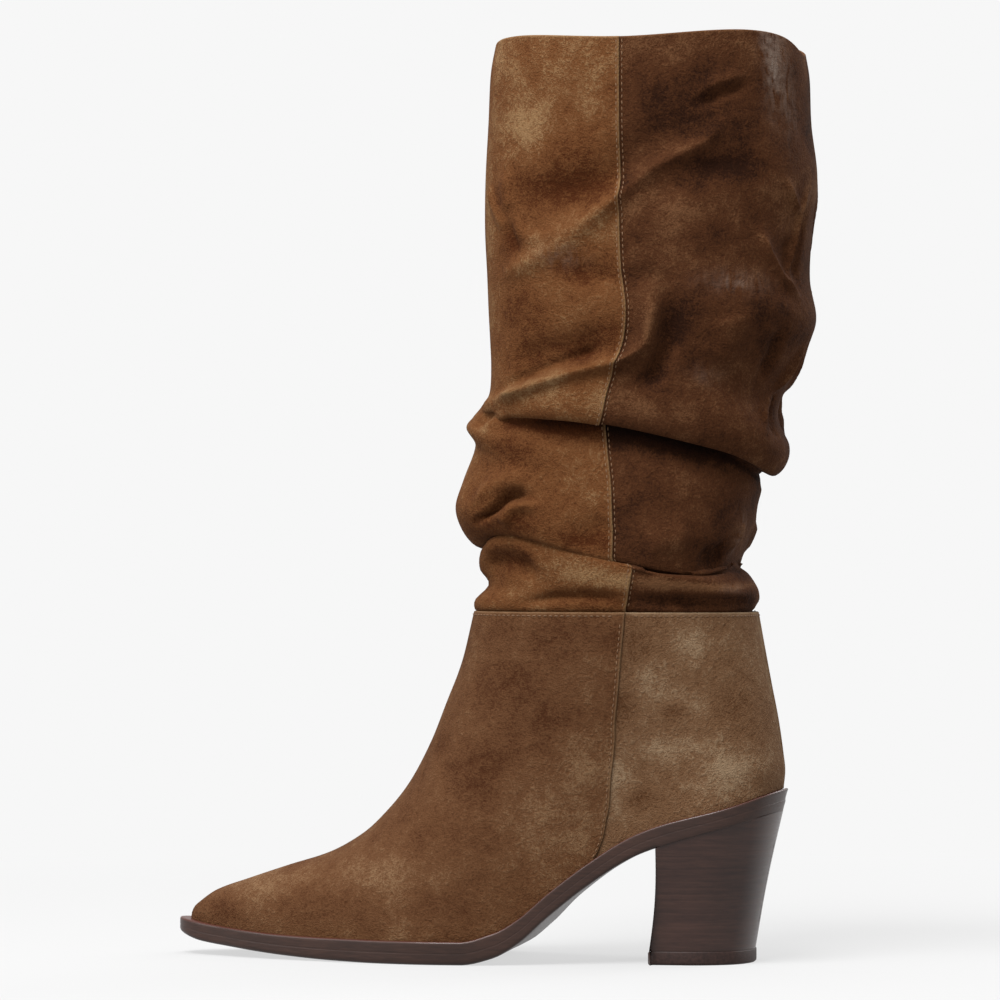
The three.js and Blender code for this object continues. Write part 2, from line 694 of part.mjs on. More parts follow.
// The floor's point under the middle of the boot's box becomes the origin
const box = new THREE.Box3().setFromObject(group);
const centre = box.getCenter(new THREE.Vector3());
group.position.set(-centre.x, -centre.y, 0);

export default group;
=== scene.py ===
import math
import random

import bmesh
import bpy
import numpy as np
from mathutils import Matrix, Vector


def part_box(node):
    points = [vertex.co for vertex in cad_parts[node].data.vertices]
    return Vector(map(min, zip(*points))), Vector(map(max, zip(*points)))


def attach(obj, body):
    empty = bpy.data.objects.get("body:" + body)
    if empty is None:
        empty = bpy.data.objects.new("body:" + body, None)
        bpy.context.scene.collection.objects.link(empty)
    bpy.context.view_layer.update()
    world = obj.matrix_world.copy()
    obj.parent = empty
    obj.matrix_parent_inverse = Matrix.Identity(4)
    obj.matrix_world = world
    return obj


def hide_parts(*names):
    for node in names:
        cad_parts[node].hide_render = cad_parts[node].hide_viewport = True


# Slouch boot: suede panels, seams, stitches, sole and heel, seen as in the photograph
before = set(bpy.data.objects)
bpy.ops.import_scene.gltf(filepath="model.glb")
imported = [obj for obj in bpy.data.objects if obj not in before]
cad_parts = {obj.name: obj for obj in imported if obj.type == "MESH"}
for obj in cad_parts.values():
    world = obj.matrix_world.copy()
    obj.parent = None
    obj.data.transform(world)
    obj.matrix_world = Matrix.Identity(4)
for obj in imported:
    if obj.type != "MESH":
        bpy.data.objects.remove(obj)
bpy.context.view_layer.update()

random.seed(7)

MM = 0.001

# The boot's own sizes in millimetres, and shares of them, as its solids have them
SOLE_LENGTH = 248
BALL_WIDTH = 82
TOE_OFFSET = 3
TOE_LEDGE = 4.4
SIDE_LEDGE = 1.8
HEEL_LEDGE = 0.8
SOLE_THICKNESS = 9
TOE_SPRING = 8.9
HEEL_RISE = 60
ARCH_LIFT = 6
HEEL_DEPTH = 47
HEEL_TIP_DEPTH = 37.2
HEEL_PITCH = 13
HEEL_TIP_WIDTH = 51
HEEL_INSET = 0.5
HEEL_HOLLOW = 0.9
TOP_PIECE_THICKNESS = 5.4
ANKLE_HEIGHT = 138.5
ANKLE_DEPTH = 114.4
ANKLE_WIDTH = 76
ANKLE_SET = 10.2
SHAFT_HEIGHT = 228
SHAFT_DEPTH = 129
SHAFT_WIDTH = 103
SHAFT_LEAN = 13.6
FOLD = 12
INNER_DROP = 6
FOLDS_FROM = 0.15
FOLDS_TO = 0.4
LAP = 7
OVAL = 2.2
TOE_BEND = 0.45
SEAM_STEP = 15 / 26             # place of the foot's side seam, as a share of a ring's steps
STEP = 0.9                      # a panel that laps over stands this much proud
STEEP = 4                       # how steeply the instep's line would run on past the ankle seam

# Where the tip of the sole and the boot's middle are in the frame. Places along the boot are
# millimetres from that tip.
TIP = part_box("outsole")[0].x
MIDDLE = (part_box("shaft")[0].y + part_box("shaft")[1].y) / 2


def table(names, *rows):
    """The columns of a table, by name."""
    return dict(zip(names.split(), np.array(rows, float).T))


# Side view of the sole: shares of its length, the toe spring, the heel rise, its thickness
# and the arch's lift
SOLE_SIDE = table(
    "at spring rise thick arch",
    (0.000, 1.00, 0.000, 0.64, 0.00),
    (0.045, 0.63, 0.000, 0.82, 0.00),
    (0.110, 0.42, 0.000, 0.84, 0.00),
    (0.200, 0.19, 0.000, 0.90, 0.00),
    (0.290, 0.05, 0.000, 0.98, 0.00),
    (0.370, 0.00, 0.000, 1.01, 0.00),
    (0.505, 0.00, 0.000, 1.01, 0.00),
    (0.555, 0.00, 0.044, 1.08, 0.40),
    (0.595, 0.00, 0.138, 1.07, 0.80),
    (0.640, 0.00, 0.304, 1.03, 1.00),
    (0.700, 0.00, 0.503, 0.97, 0.90),
    (0.770, 0.00, 0.696, 0.93, 0.40),
    (0.810, 0.00, 0.770, 0.92, 0.00),
    (0.920, 0.00, 0.905, 0.83, 0.00),
    (1.000, 0.00, 1.000, 0.99, 0.00),
)

# Where the upper meets the sole, from above: shares of the ball's width on each side
FEATHER = table(
    "at outer inner",
    (0.000, 0.000, 0.000),
    (0.040, 0.140, 0.145),
    (0.140, 0.300, 0.312),
    (0.300, 0.440, 0.448),
    (0.450, 0.524, 0.462),
    (0.620, 0.456, 0.360),
    (0.760, 0.378, 0.322),
    (0.880, 0.366, 0.345),
    (0.965, 0.262, 0.252),
    (1.000, 0.000, 0.000),
)

# Top line of the foot from the toe to the ankle seam, and the roundness of its sections
INSTEP = table(
    "along rise round",
    (0.000, 0.000, 2.00),
    (0.003, 0.021, 2.00),
    (0.010, 0.036, 2.00),
    (0.028, 0.052, 2.05),
    (0.091, 0.093, 2.20),
    (0.202, 0.131, 2.35),
    (0.347, 0.177, 2.35),
    (0.495, 0.222, 2.25),
    (0.618, 0.288, 2.10),
    (0.706, 0.367, 2.00),
    (0.776, 0.451, 1.90),
    (0.850, 0.581, 1.80),
    (0.905, 0.710, 1.75),
    (0.958, 0.839, 1.70),
    (1.000, 1.000, 1.70),
)

# Line up the foot's back: shares of its height, and of how far it is set in at the ankle seam
BACK_LINE = table(
    "rise set",
    (0.00, 0.00),
    (0.10, -0.06),
    (0.21, 0.02),
    (0.38, 0.19),
    (0.61, 0.50),
    (0.84, 0.80),
    (1.00, 1.00),
)

# Rings of the foot: shares of the instep's length at the front and of the back's height at the
# back, and where the side seam crosses them
UPPER_RINGS = table(
    "along rise seam",
    (0.000, 0.00, 0.710),
    (0.003, 0.03, 0.717),
    (0.028, 0.07, 0.720),
    (0.091, 0.12, 0.715),
    (0.202, 0.18, 0.705),
    (0.347, 0.25, 0.685),
    (0.495, 0.32, 0.660),
    (0.618, 0.40, 0.640),
    (0.706, 0.48, 0.625),
    (0.776, 0.56, 0.610),
    (0.850, 0.66, 0.600),
    (0.905, 0.77, 0.595),
    (0.958, 0.88, 0.590),
    (1.000, 1.00, 0.590),
)

# Rings of the shaft from the ankle seam to the collar: heights at front, front quarter, side,
# back quarter and back, how far the ring has opened from ankle to calf, and its folds. Some of
# the rows at the two large folds follow the photograph more closely than the solids do.
SHAFT_RINGS = table(
    "front frontQ side backQ back open ahead behind beside seam",
    (0.005, 0.005, 0.005, 0.005, 0.005, 0.00, 0.02, -0.13, -0.12, 0.85),
    (0.020, 0.019, 0.018, 0.018, 0.019, 0.02, -0.02, -0.02, -0.08, 0.90),
    (0.046, 0.044, 0.036, 0.033, 0.037, 0.06, -0.46, -0.12, 0.03, 0.93),
    (0.070, 0.090, 0.058, 0.047, 0.054, 0.11, -0.13, -0.37, 0.10, 0.97),
    (0.094, 0.133, 0.081, 0.061, 0.070, 0.14, -0.14, -0.65, 0.08, 0.98),
    (0.102, 0.128, 0.078, 0.070, 0.082, 0.16, -0.45, -0.98, -0.30, 0.55),
    (0.113, 0.134, 0.087, 0.062, 0.088, 0.18, 0.12, -0.95, 0.02, 0.30),
    (0.142, 0.150, 0.110, 0.094, 0.115, 0.24, 0.57, -0.88, 0.08, 0.24),
    (0.182, 0.172, 0.147, 0.132, 0.152, 0.32, 0.80, -0.72, 0.05, 0.15),
    (0.230, 0.205, 0.187, 0.178, 0.186, 0.40, 0.57, -0.74, -0.05, 0.05),
    (0.292, 0.252, 0.224, 0.214, 0.208, 0.48, 0.20, -0.76, -0.17, -0.08),
    (0.320, 0.296, 0.264, 0.243, 0.217, 0.55, 0.55, -0.90, -0.30, -0.25),
    (0.338, 0.321, 0.311, 0.270, 0.226, 0.60, 0.36, -1.00, -0.48, -0.42),
    (0.350, 0.333, 0.334, 0.292, 0.238, 0.62, 0.18, -1.05, -0.56, -0.50),
    (0.359, 0.339, 0.319, 0.273, 0.230, 0.64, 0.02, -0.62, -0.12, -0.60),
    (0.368, 0.353, 0.338, 0.296, 0.250, 0.68, -0.12, -0.29, 0.10, -0.50),
    (0.388, 0.381, 0.376, 0.336, 0.284, 0.74, -0.20, -0.28, 0.08, -0.40),
    (0.426, 0.426, 0.423, 0.392, 0.345, 0.82, -0.18, -0.78, -0.02, -0.22),
    (0.470, 0.475, 0.470, 0.458, 0.425, 0.90, -0.10, -0.28, -0.05, -0.02),
    (0.520, 0.524, 0.524, 0.520, 0.498, 0.96, -0.02, 0.22, -0.02, 0.00),
    (0.585, 0.587, 0.587, 0.585, 0.575, 1.00, 0.05, -0.05, -0.08, -0.20),
    (0.665, 0.665, 0.665, 0.665, 0.660, 1.00, 0.12, 0.03, -0.05, -0.25),
    (0.752, 0.752, 0.752, 0.752, 0.750, 1.00, 0.10, 0.20, -0.03, -0.25),
    (0.848, 0.848, 0.848, 0.848, 0.848, 1.00, 0.00, 0.00, 0.00, -0.25),
    (0.935, 0.936, 0.932, 0.940, 0.936, 1.00, -0.08, -0.06, 0.02, -0.25),
    (0.987, 0.991, 0.983, 0.996, 0.986, 1.00, -0.26, -0.20, 0.00, -0.25),
)


def mix(a, b, share):
    return a + (b - a) * share


def ease(value):
    """0 up to 0, 1 from 1 on, and smooth between."""
    t = np.clip(value, 0, 1)
    return t * t * (3 - 2 * t)


def curve(x, y):
    """A smooth curve through points, which never swings past them."""
    secant = np.diff(y) / np.diff(x)
    before, after = secant[:-1], secant[1:]
    same_way = before * after > 0
    total = np.where(same_way, before + after, 1)
    inner = np.where(same_way, 2 * before * after / total, 0)
    slope = np.concatenate([secant[:1], inner, secant[-1:]])

    def at(place):
        place = np.clip(place, x[0], x[-1])
        k = np.clip(np.searchsorted(x, place) - 1, 0, len(x) - 2)
        step = x[k + 1] - x[k]
        t = (place - x[k]) / step
        rise = t * (1 - t) * ((1 - t) * slope[k] - t * slope[k + 1]) * step
        return mix(y[k], y[k + 1], t * t * (3 - 2 * t)) + rise

    return at


def flow(before, start, end, after, t):
    """Catmull-Rom through four values."""
    bend = 2 * before - 5 * start + 4 * end - after + t * (3 * (start - end) + after - before)
    return start + 0.5 * t * (end - before + t * bend)


def length_share(step):
    """Steps round a ring are close together at its front and back."""
    return (1 - np.cos(np.pi * step)) / 2


def step_share(at):
    return np.arccos(1 - 2 * np.clip(at, 0, 1)) / np.pi


spring_at = curve(SOLE_SIDE["at"], SOLE_SIDE["spring"])
rise_at = curve(SOLE_SIDE["at"], SOLE_SIDE["rise"])
thick_at = curve(SOLE_SIDE["at"], SOLE_SIDE["thick"])
arch_at = curve(SOLE_SIDE["at"], SOLE_SIDE["arch"])
outer_at = curve(step_share(FEATHER["at"]), FEATHER["outer"])
inner_at = curve(step_share(FEATHER["at"]), FEATHER["inner"])
instep_rise = curve(INSTEP["along"], INSTEP["rise"])
instep_round = curve(INSTEP["along"], INSTEP["round"])
back_set = curve(BACK_LINE["rise"], BACK_LINE["set"])

UPPER_FRONT = TOE_LEDGE
UPPER_BACK = SOLE_LENGTH - HEEL_LEDGE
UPPER_LENGTH = UPPER_BACK - UPPER_FRONT
ANKLE_BACK = UPPER_BACK - ANKLE_SET
ANKLE_FRONT = ANKLE_BACK - ANKLE_DEPTH
HEEL_FRONT = SOLE_LENGTH - HEEL_DEPTH
INSTEP_RUN = ANKLE_FRONT - UPPER_FRONT


def tread_z(x, y):
    """Height of the sole's underside."""
    at = np.clip(x / SOLE_LENGTH, 0, 1)
    lift = ARCH_LIFT * arch_at(at) * np.clip(y / BALL_WIDTH + 0.5, 0, 1)
    return TOE_SPRING * spring_at(at) + HEEL_RISE * rise_at(at) + lift


def seat_z(x, y):
    """Height of the sole's top."""
    return tread_z(x, y) + SOLE_THICKNESS * thick_at(np.clip(x / SOLE_LENGTH, 0, 1))


def feather_half(at, side):
    """Half the sole's width on one side, without its ledge."""
    step = step_share(at)
    return np.where(side < 0, outer_at(step), inner_at(step)) * BALL_WIDTH


def middle_y(at):
    return TOE_OFFSET * (1 - ease(at / TOE_BEND))


def feather_y(at, side):
    return middle_y(at) + side * feather_half(at, side)


def seat_under(x, side):
    """Height of the sole's top where the foot's skin meets it."""
    at = np.clip((x - UPPER_FRONT) / UPPER_LENGTH, 0, 1)
    return seat_z(UPPER_FRONT + UPPER_LENGTH * at, feather_y(at, side))


TOE_Z = float(seat_under(UPPER_FRONT, -1))
SEAT_BACK_Z = float(seat_under(UPPER_BACK, -1))
INSTEP_RISE = ANKLE_HEIGHT - TOE_Z


def instep_z(x):
    above = np.maximum(x - ANKLE_FRONT, 0) * STEEP * INSTEP_RISE / INSTEP_RUN
    return TOE_Z + INSTEP_RISE * instep_rise((x - UPPER_FRONT) / INSTEP_RUN) + above


INSTEP_SAMPLES = np.linspace(UPPER_FRONT, ANKLE_FRONT, 4001)
INSTEP_HEIGHTS = instep_z(INSTEP_SAMPLES)


def instep_x(z):
    return np.interp(z, INSTEP_HEIGHTS, INSTEP_SAMPLES)


def back_x(z):
    rise = np.clip((z - SEAT_BACK_Z) / (ANKLE_HEIGHT - SEAT_BACK_Z), 0, 1)
    return UPPER_BACK - ANKLE_SET * back_set(rise)


def oval_half(at):
    return (1 - np.abs(2 * np.clip(at, 0, 1) - 1) ** OVAL) ** (1 / OVAL)


def upper_y(x, z, side):
    """Where the foot's skin is at a place and a height: over the last, then the ankle's oval."""
    seat = seat_under(x, side)
    back = back_x(z)
    shift = (UPPER_BACK - back) * ease((x - ANKLE_FRONT) / (back - ANKLE_FRONT))
    at = np.clip((x + shift - UPPER_FRONT) / UPPER_LENGTH, 0, 1)
    height = np.clip((z - seat) / np.maximum(instep_z(x) - seat, MM), 0, 1)
    bulge = instep_round((x - UPPER_FRONT) / INSTEP_RUN)
    arch = feather_half(at, side) * (1 - height ** bulge) ** (1 / bulge)
    front = instep_x(z)
    oval = ANKLE_WIDTH / 2 * oval_half((x - front) / (back - front))
    ankle = ease((z - seat) / (ANKLE_HEIGHT - seat))
    return middle_y(at) * (1 - ankle) + side * mix(arch, oval, ankle)


def halves(turn):
    """A place round a ring is a turn: 0 at the front, 0.5 on the outer side, 1 at the back and
    1.5 on the inner side. Gives its share of the way from front to back, and its side."""
    turn = np.mod(turn, 2)
    return np.where(turn <= 1, turn, 2 - turn), np.where(turn <= 1, -1.0, 1.0)


RING_NUMBERS = np.arange(len(UPPER_RINGS["along"]), dtype=float)
ring_along = curve(RING_NUMBERS, UPPER_RINGS["along"])
ring_rise = curve(RING_NUMBERS, UPPER_RINGS["rise"])
ring_seam = curve(RING_NUMBERS, UPPER_RINGS["seam"])
FOOT_TOP = len(RING_NUMBERS) - 1


def foot_skin(turn, level):
    """Points of the foot's skin. A level is a row number of UPPER_RINGS, whole or not."""
    step, side = halves(turn)
    bend = np.log(ring_seam(level)) / np.log(length_share(SEAM_STEP))
    at = length_share(step) ** bend
    front_x = mix(UPPER_FRONT, ANKLE_FRONT, ring_along(level))
    front_seat = seat_under(front_x, side)
    rise = ring_rise(level)
    front_share = (instep_z(front_x) - front_seat) / (ANKLE_HEIGHT - front_seat)
    back = back_x(mix(SEAT_BACK_Z, ANKLE_HEIGHT, rise))
    x = mix(front_x, back, at)
    z = mix(seat_under(x, side), ANKLE_HEIGHT, mix(front_share, rise, ease(at)))
    return np.stack(np.broadcast_arrays(x, upper_y(x, z, side), z), axis=-1)


SHAFT_TOP = len(SHAFT_RINGS["front"]) - 1
HEIGHTS = np.stack([SHAFT_RINGS[name] for name in ("front", "frontQ", "side", "backQ", "back")])


def ring_value(column, level):
    """A column of SHAFT_RINGS at a row number, whole or not."""
    level = np.clip(level, 0, SHAFT_TOP)
    k = np.clip(np.floor(level).astype(int), 0, SHAFT_TOP - 1)
    before = column[np.maximum(k - 1, 0)]
    after = column[np.minimum(k + 2, SHAFT_TOP)]
    return flow(before, column[k], column[k + 1], after, level - k)


def ring_height(share, side, level):
    """Height of a shaft ring at a share of the way from its front to its back."""
    heights = np.stack([ring_value(column, level) for column in HEIGHTS])
    last = len(HEIGHTS) - 1
    k = np.minimum(np.floor(share * last).astype(int), last - 1)

    def pick(place):
        return np.take_along_axis(heights, place[None], axis=0)[0]

    before = pick(np.where(k == 0, 1, k - 1))
    after = pick(np.where(k + 2 > last, last - 1, k + 2))
    smooth = flow(before, pick(k), pick(k + 1), after, share * last - k)
    drop = np.where(side > 0, INNER_DROP * np.sin(np.pi * share) ** 2, 0)
    slack = ease(smooth / FOLDS_FROM) * (1 - ease((smooth - FOLDS_TO) / FOLDS_TO))
    return ANKLE_HEIGHT + SHAFT_HEIGHT * smooth - drop * slack


TUCK = 1.6                      # the shaft goes down inside the foot this far from its skin
TUCK_RATE = 3                   # and is that far in at a third of a level below the seam
FRONT_DIP = 2.2                 # how far the collar dips at its front and at its back
BACK_DIP = 5.0
DIP_WIDTH = 0.1                 # how wide a dip is, and at the inner side's back twice as wide
DIP_ROWS = 3                    # rows below the collar that dip with it


def matched(turn, level):
    """Turns and levels as arrays of the same shape."""
    return np.broadcast_arrays(np.asarray(turn, float), np.asarray(level, float))


def collar_dip(share, side, level):
    """How much lower the collar and the rows below it are at the front and at the back."""
    back_width = np.where(side > 0, 2, 1) * DIP_WIDTH
    front = FRONT_DIP * np.exp(-(share / DIP_WIDTH) ** 2)
    back = BACK_DIP * np.exp(-((1 - share) / back_width) ** 2)
    return (front + back) * ease((level - SHAFT_TOP + DIP_ROWS) / DIP_ROWS)


def shaft_plain(turn, level):
    """Points of the shaft before its creases. Below level 0 it is tucked inside the foot."""
    turn, level = matched(turn, level)
    share, side = halves(turn)
    value = {name: ring_value(column, level) for name, column in SHAFT_RINGS.items()}
    below = np.minimum(level, 0)
    tuck = TUCK * ease(-below * TUCK_RATE)
    middle = ANKLE_FRONT + ANKLE_DEPTH / 2 + SHAFT_LEAN * value["open"]
    half_depth = mix(ANKLE_DEPTH, SHAFT_DEPTH, value["open"]) / 2 - tuck
    half_width = mix(ANKLE_WIDTH, SHAFT_WIDTH, value["open"]) / 2 + FOLD * value["beside"] - tuck
    seam_x = middle + FOLD * value["seam"]
    front = middle - half_depth - FOLD * value["ahead"]
    back = middle + half_depth + FOLD * value["behind"]
    along = np.cos(np.pi * share)
    across = np.sin(np.pi * share)
    reach = (np.abs(along) ** OVAL + np.abs(across) ** OVAL) ** (-1 / OVAL)
    run = np.where(along > 0, seam_x - front, back - seam_x)
    x = seam_x - run * along * reach
    y = side * half_width * across * reach
    z = ring_height(share, side, level) + LAP * below - collar_dip(share, side, level)
    return np.stack([x, y, z], axis=-1)


NUDGE = 0.004                   # step in turn and level for measuring a skin's slope
LEAST_NORMAL = 1e-9             # keeps a normal from being divided by nought
LENGTH_SAMPLES = 2000


def normal_of(skin, turn, level):
    """Outward normals of a skin."""
    around = skin(turn + NUDGE, level) - skin(turn - NUDGE, level)
    upward = skin(turn, level + NUDGE) - skin(turn, level - NUDGE)
    normal = np.cross(around, upward)
    return normal / np.maximum(np.linalg.norm(normal, axis=-1, keepdims=True), LEAST_NORMAL)


def skin_length(skin, turn, low, high):
    """Levels, and the length along the skin that leads up to each of them."""
    levels = np.linspace(low, high, LENGTH_SAMPLES)
    points = skin(np.full(LENGTH_SAMPLES, turn), levels)
    steps = np.linalg.norm(np.diff(points, axis=0), axis=1)
    return levels, np.concatenate([[0], np.cumsum(steps)])


SHAFT_SEAM = 0.5                # turn of the shaft's seam on its outer side
LOWEST = -1                     # level below any part of the shaft
HALF_ROUND = 185                # millimetres of skin from the shaft's front to its back
WHOLE_ROUND = 2 * HALF_ROUND
SHAFT_LEVELS, SHAFT_LENGTHS = skin_length(shaft_plain, SHAFT_SEAM, LOWEST, SHAFT_TOP)


def unrolled(turn, level):
    """Millimetres round and up the shaft's skin."""
    return turn * HALF_ROUND, np.interp(level, SHAFT_LEVELS, SHAFT_LENGTHS)


# Creases of the shaft's outer side. Each has a width and a height in
# millimetres, below nought for a trough, and runs through points of turn and level.
CREASES = [
    (4.2, 1.35, (0.20, 19.9), (0.241, 20.0), (0.302, 20.2), (0.36, 20.45), (0.43, 21.0),
     (0.49, 21.5), (0.53, 21.8)),
    (2.8, 1.3, (0.43, 21.0), (0.49, 21.5), (0.561, 22.1), (0.651, 22.5), (0.71, 23.0)),
    (3.0, 0.8, (0.25, 21.2), (0.28, 20.85), (0.31, 20.7), (0.35, 20.75), (0.40, 21.0)),
    (8.0, -1.8, (0.255, 21.6), (0.344, 21.6), (0.42, 21.7), (0.481, 21.9), (0.529, 22.3),
     (0.575, 22.6), (0.639, 23.0)),
    (6.0, -1.2, (0.538, 21.4), (0.582, 21.7), (0.643, 22.0), (0.709, 22.2), (0.773, 22.1)),
    (2.4, 0.9, (0.14, 21.8), (0.16, 21.6), (0.20, 21.2), (0.235, 20.9)),
    (2.6, -0.8, (0.235, 21.1), (0.255, 20.7), (0.27, 20.4)),
    (4.5, 1.0, (0.226, 22.1), (0.236, 21.6), (0.246, 21.3)),
    (1.8, -1.3, (0.645, 23.15), (0.69, 23.4), (0.75, 23.55)),
    (2.6, 0.8, (0.65, 23.45), (0.69, 23.6), (0.74, 23.75)),
    (5.0, -1.2, (0.38, 19.85), (0.436, 19.9), (0.48, 19.6)),
    (4.0, -1.0, (0.51, 19.7), (0.535, 19.8), (0.565, 19.7)),
    (3.6, -2.6, (0.572, 19.7), (0.584, 18.7), (0.598, 17.8), (0.588, 16.9), (0.55, 16.3)),
    (4.0, 2.4, (0.541, 19.5), (0.551, 18.7), (0.548, 17.8), (0.522, 17.35), (0.491, 17.05)),
    (5.0, 0.9, (0.07, 14.4), (0.13, 14.8), (0.19, 15.3), (0.25, 15.8), (0.31, 16.15)),
    (2.4, 2.1, (0.21, 15.5), (0.25, 15.8), (0.31, 16.15), (0.429, 16.75), (0.491, 17.05),
     (0.53, 17.4)),
    (2.4, -1.7, (0.19, 16.0), (0.31, 16.75), (0.41, 17.25), (0.47, 17.6)),
    (6.5, -2.0, (0.23, 16.9), (0.33, 17.3), (0.416, 17.6), (0.475, 18.0)),
    (2.2, 1.8, (0.775, 20.9), (0.80, 20.4), (0.837, 19.9), (0.90, 19.5)),
    (4.0, -0.9, (0.85, 20.8), (0.86, 20.3), (0.89, 19.9)),
    (1.7, 0.9, (0.96, 21.85), (0.92, 21.6), (0.902, 21.2), (0.89, 20.65), (0.876, 20.25),
     (0.87, 19.95), (0.885, 19.7)),
    (2.4, -1.1, (0.96, 21.5), (0.93, 21.15), (0.915, 20.6), (0.90, 20.2), (0.897, 19.85)),
    (1.6, 1.0, (0.832, 21.9), (0.872, 21.5), (0.895, 21.25)),
    (2.4, 1.6, (0.985, 18.6), (0.96, 17.9), (0.92, 17.2), (0.872, 16.6), (0.855, 16.2)),
    (4.0, -1.6, (0.93, 17.6), (0.93, 16.9), (0.90, 16.2)),
    (3.0, -1.4, (0.83, 18.6), (0.85, 18.0), (0.84, 17.4)),
    (8.0, 1.2, (0.70, 18.9), (0.72, 18.1), (0.71, 17.3)),
    (5.0, -1.0, (0.205, 14.1), (0.188, 13.2), (0.172, 12.3), (0.155, 11.2)),
    (4.5, 0.8, (0.255, 14.0), (0.235, 13.2), (0.215, 12.3), (0.195, 11.2)),
    (2.0, -2.8, (0.345, 8.9), (0.31, 9.05), (0.285, 8.9), (0.262, 8.2), (0.235, 7.6), (0.193, 7.1)),
    (2.6, 1.7, (0.37, 8.6), (0.33, 8.6), (0.305, 8.3), (0.292, 7.7), (0.288, 7.1)),
    (3.6, 1.5, (0.19, 8.3), (0.235, 9.2), (0.276, 9.6), (0.334, 9.5)),
    (6.0, -1.2, (0.42, 7.1), (0.464, 7.6), (0.495, 8.3)),
    (3.6, -1.7, (0.745, 7.1), (0.801, 7.0), (0.84, 7.2)),
    (3.0, 1.2, (0.895, 8.4), (0.89, 7.6), (0.862, 7.1)),
    (6.0, 1.2, (0.58, 7.4), (0.646, 7.7), (0.71, 8.1)),
    (2.4, -2.2, (0.12, 2.8), (0.19, 2.95), (0.24, 2.95), (0.285, 2.8), (0.315, 2.4)),
    (2.2, 1.0, (0.13, 3.5), (0.19, 3.6), (0.26, 3.5), (0.32, 3.2)),
    (1.8, -1.4, (0.28, 0.9), (0.366, 1.4), (0.426, 1.5), (0.485, 1.4)),
    (2.2, -1.3, (0.512, 1.2), (0.643, 0.9), (0.80, 0.8), (0.92, 0.8)),
]
CREASE_DEPTH = 1.6              # all creases are this many times as deep as the list says
INNER_CREASES = 0.85            # the inner side has the same creases, not as deep
CREASE_ENDS = 4                 # a crease fades over the first and the last quarter of its path
CREASE_LEAST = 0.2              # down to this share of its depth

# Lighter and darker spots on the shaft: mostly painted highlight on ridges and painted shade in
# troughs, under the lip and in hollows, with nap patches between. Turn and level, then how far the
# spot spreads round and up in millimetres, then how light it is, below nought for darker
SHAFT_NAP_AND_SHADE = table(
    "turn level round up tone",
    (0.20, 24.4, 14, 16, 0.5),
    (0.40, 23.6, 20, 16, 0.35),
    (0.28, 23.0, 16, 12, 0.3),
    (0.43, 22.4, 16, 7, -0.5),
    (0.29, 22.6, 12, 9, 0.4),
    # painted shade in the trough above the diagonal ridge, and painted highlight on that ridge
    (0.33, 21.7, 26, 9, -0.6),
    (0.45, 21.8, 14, 8, -0.5),
    (0.45, 21.0, 12, 6, 0.3),
    (0.14, 21.5, 8, 40, 0.5),
    # painted shade in two troughs, and painted highlight on the ridge between them
    (0.25, 20.6, 7, 8, -0.7),
    (0.43, 19.9, 16, 5, -0.7),
    (0.30, 19.9, 12, 6, 0.4),
    (0.28, 19.0, 18, 9, -0.35),
    (0.39, 18.4, 10, 9, 0.1),
    (0.32, 17.5, 34, 9, -0.45),
    (0.44, 18.3, 12, 12, -0.4),
    (0.35, 15.7, 36, 5, 0.3),
    # painted shadow under the lip of the large fold, on the front panel
    (0.38, 12.3, 24, 5, -1.1),
    (0.30, 10.8, 20, 6, -0.3),
    (0.21, 11.6, 6, 8, 0.5),
    (0.43, 10.0, 12, 10, 0.2),
    (0.30, 10.4, 14, 7, -0.3),
    (0.31, 7.7, 18, 8, -0.6),
    (0.44, 8.6, 10, 10, 0.15),
    (0.44, 7.1, 10, 5, -0.6),
    (0.28, 4.3, 26, 3, 0.4),
    (0.25, 2.9, 16, 3, -0.8),
    (0.40, 2.9, 18, 4, 0.2),
    (0.56, 23.3, 16, 9, -0.5),
    (0.68, 24.6, 28, 7, 0.6),
    (0.66, 22.9, 22, 8, -0.3),
    (0.62, 22.4, 18, 4, 0.6),
    (0.71, 22.1, 18, 6, -0.6),
    (0.58, 21.3, 18, 8, 0.4),
    (0.66, 20.7, 14, 6, -0.4),
    (0.80, 21.2, 14, 10, 0.2),
    # painted shade in the upright trough, and painted highlight on the ridge beside it
    (0.60, 18.8, 6, 16, -0.9),
    (0.55, 18.6, 6, 14, 0.3),
    (0.75, 18.6, 18, 14, 0.1),
    (0.66, 16.6, 22, 7, 0.3),
    # painted shade at the foot of the same trough
    (0.585, 16.6, 9, 6, -0.9),
    # painted shadow under the lip of the large fold, on the back panel
    (0.62, 12.0, 55, 8, -0.9),
    (0.66, 12.4, 50, 4, -1.6),
    (0.60, 7.9, 14, 5, 0.3),
    # painted shade in the hollow of the dimple
    (0.80, 7.0, 9, 5, -0.4),
    (0.70, 9.3, 16, 8, -0.2),
    (0.60, 3.0, 18, 3, 0.3),
    # painted shade in the trough above the ankle seam, and a painted highlight on the band's ridge
    # above it, which also lightens the band
    (0.72, 0.9, 70, 2, -0.3),
    (0.72, 2.7, 60, 3, 1.5),
)

# Places rubbed grey, in the same way
SHAFT_GREY = table(
    "turn level round up tone",
    (0.810, 24.6, 4, 9, 1.0),
    (0.815, 23.8, 4, 12, 0.9),
    (0.845, 24.3, 7, 20, 0.5),
    (0.870, 23.1, 5, 14, 0.4),
    (0.722, 19.7, 12, 4, 0.5),
    (0.375, 20.3, 8, 4, 0.45),
    (0.89, 7.9, 5, 8, 0.6),
    (0.70, 17.1, 8, 3, 0.2),
    (0.83, 2.4, 10, 3, 0.4),
)


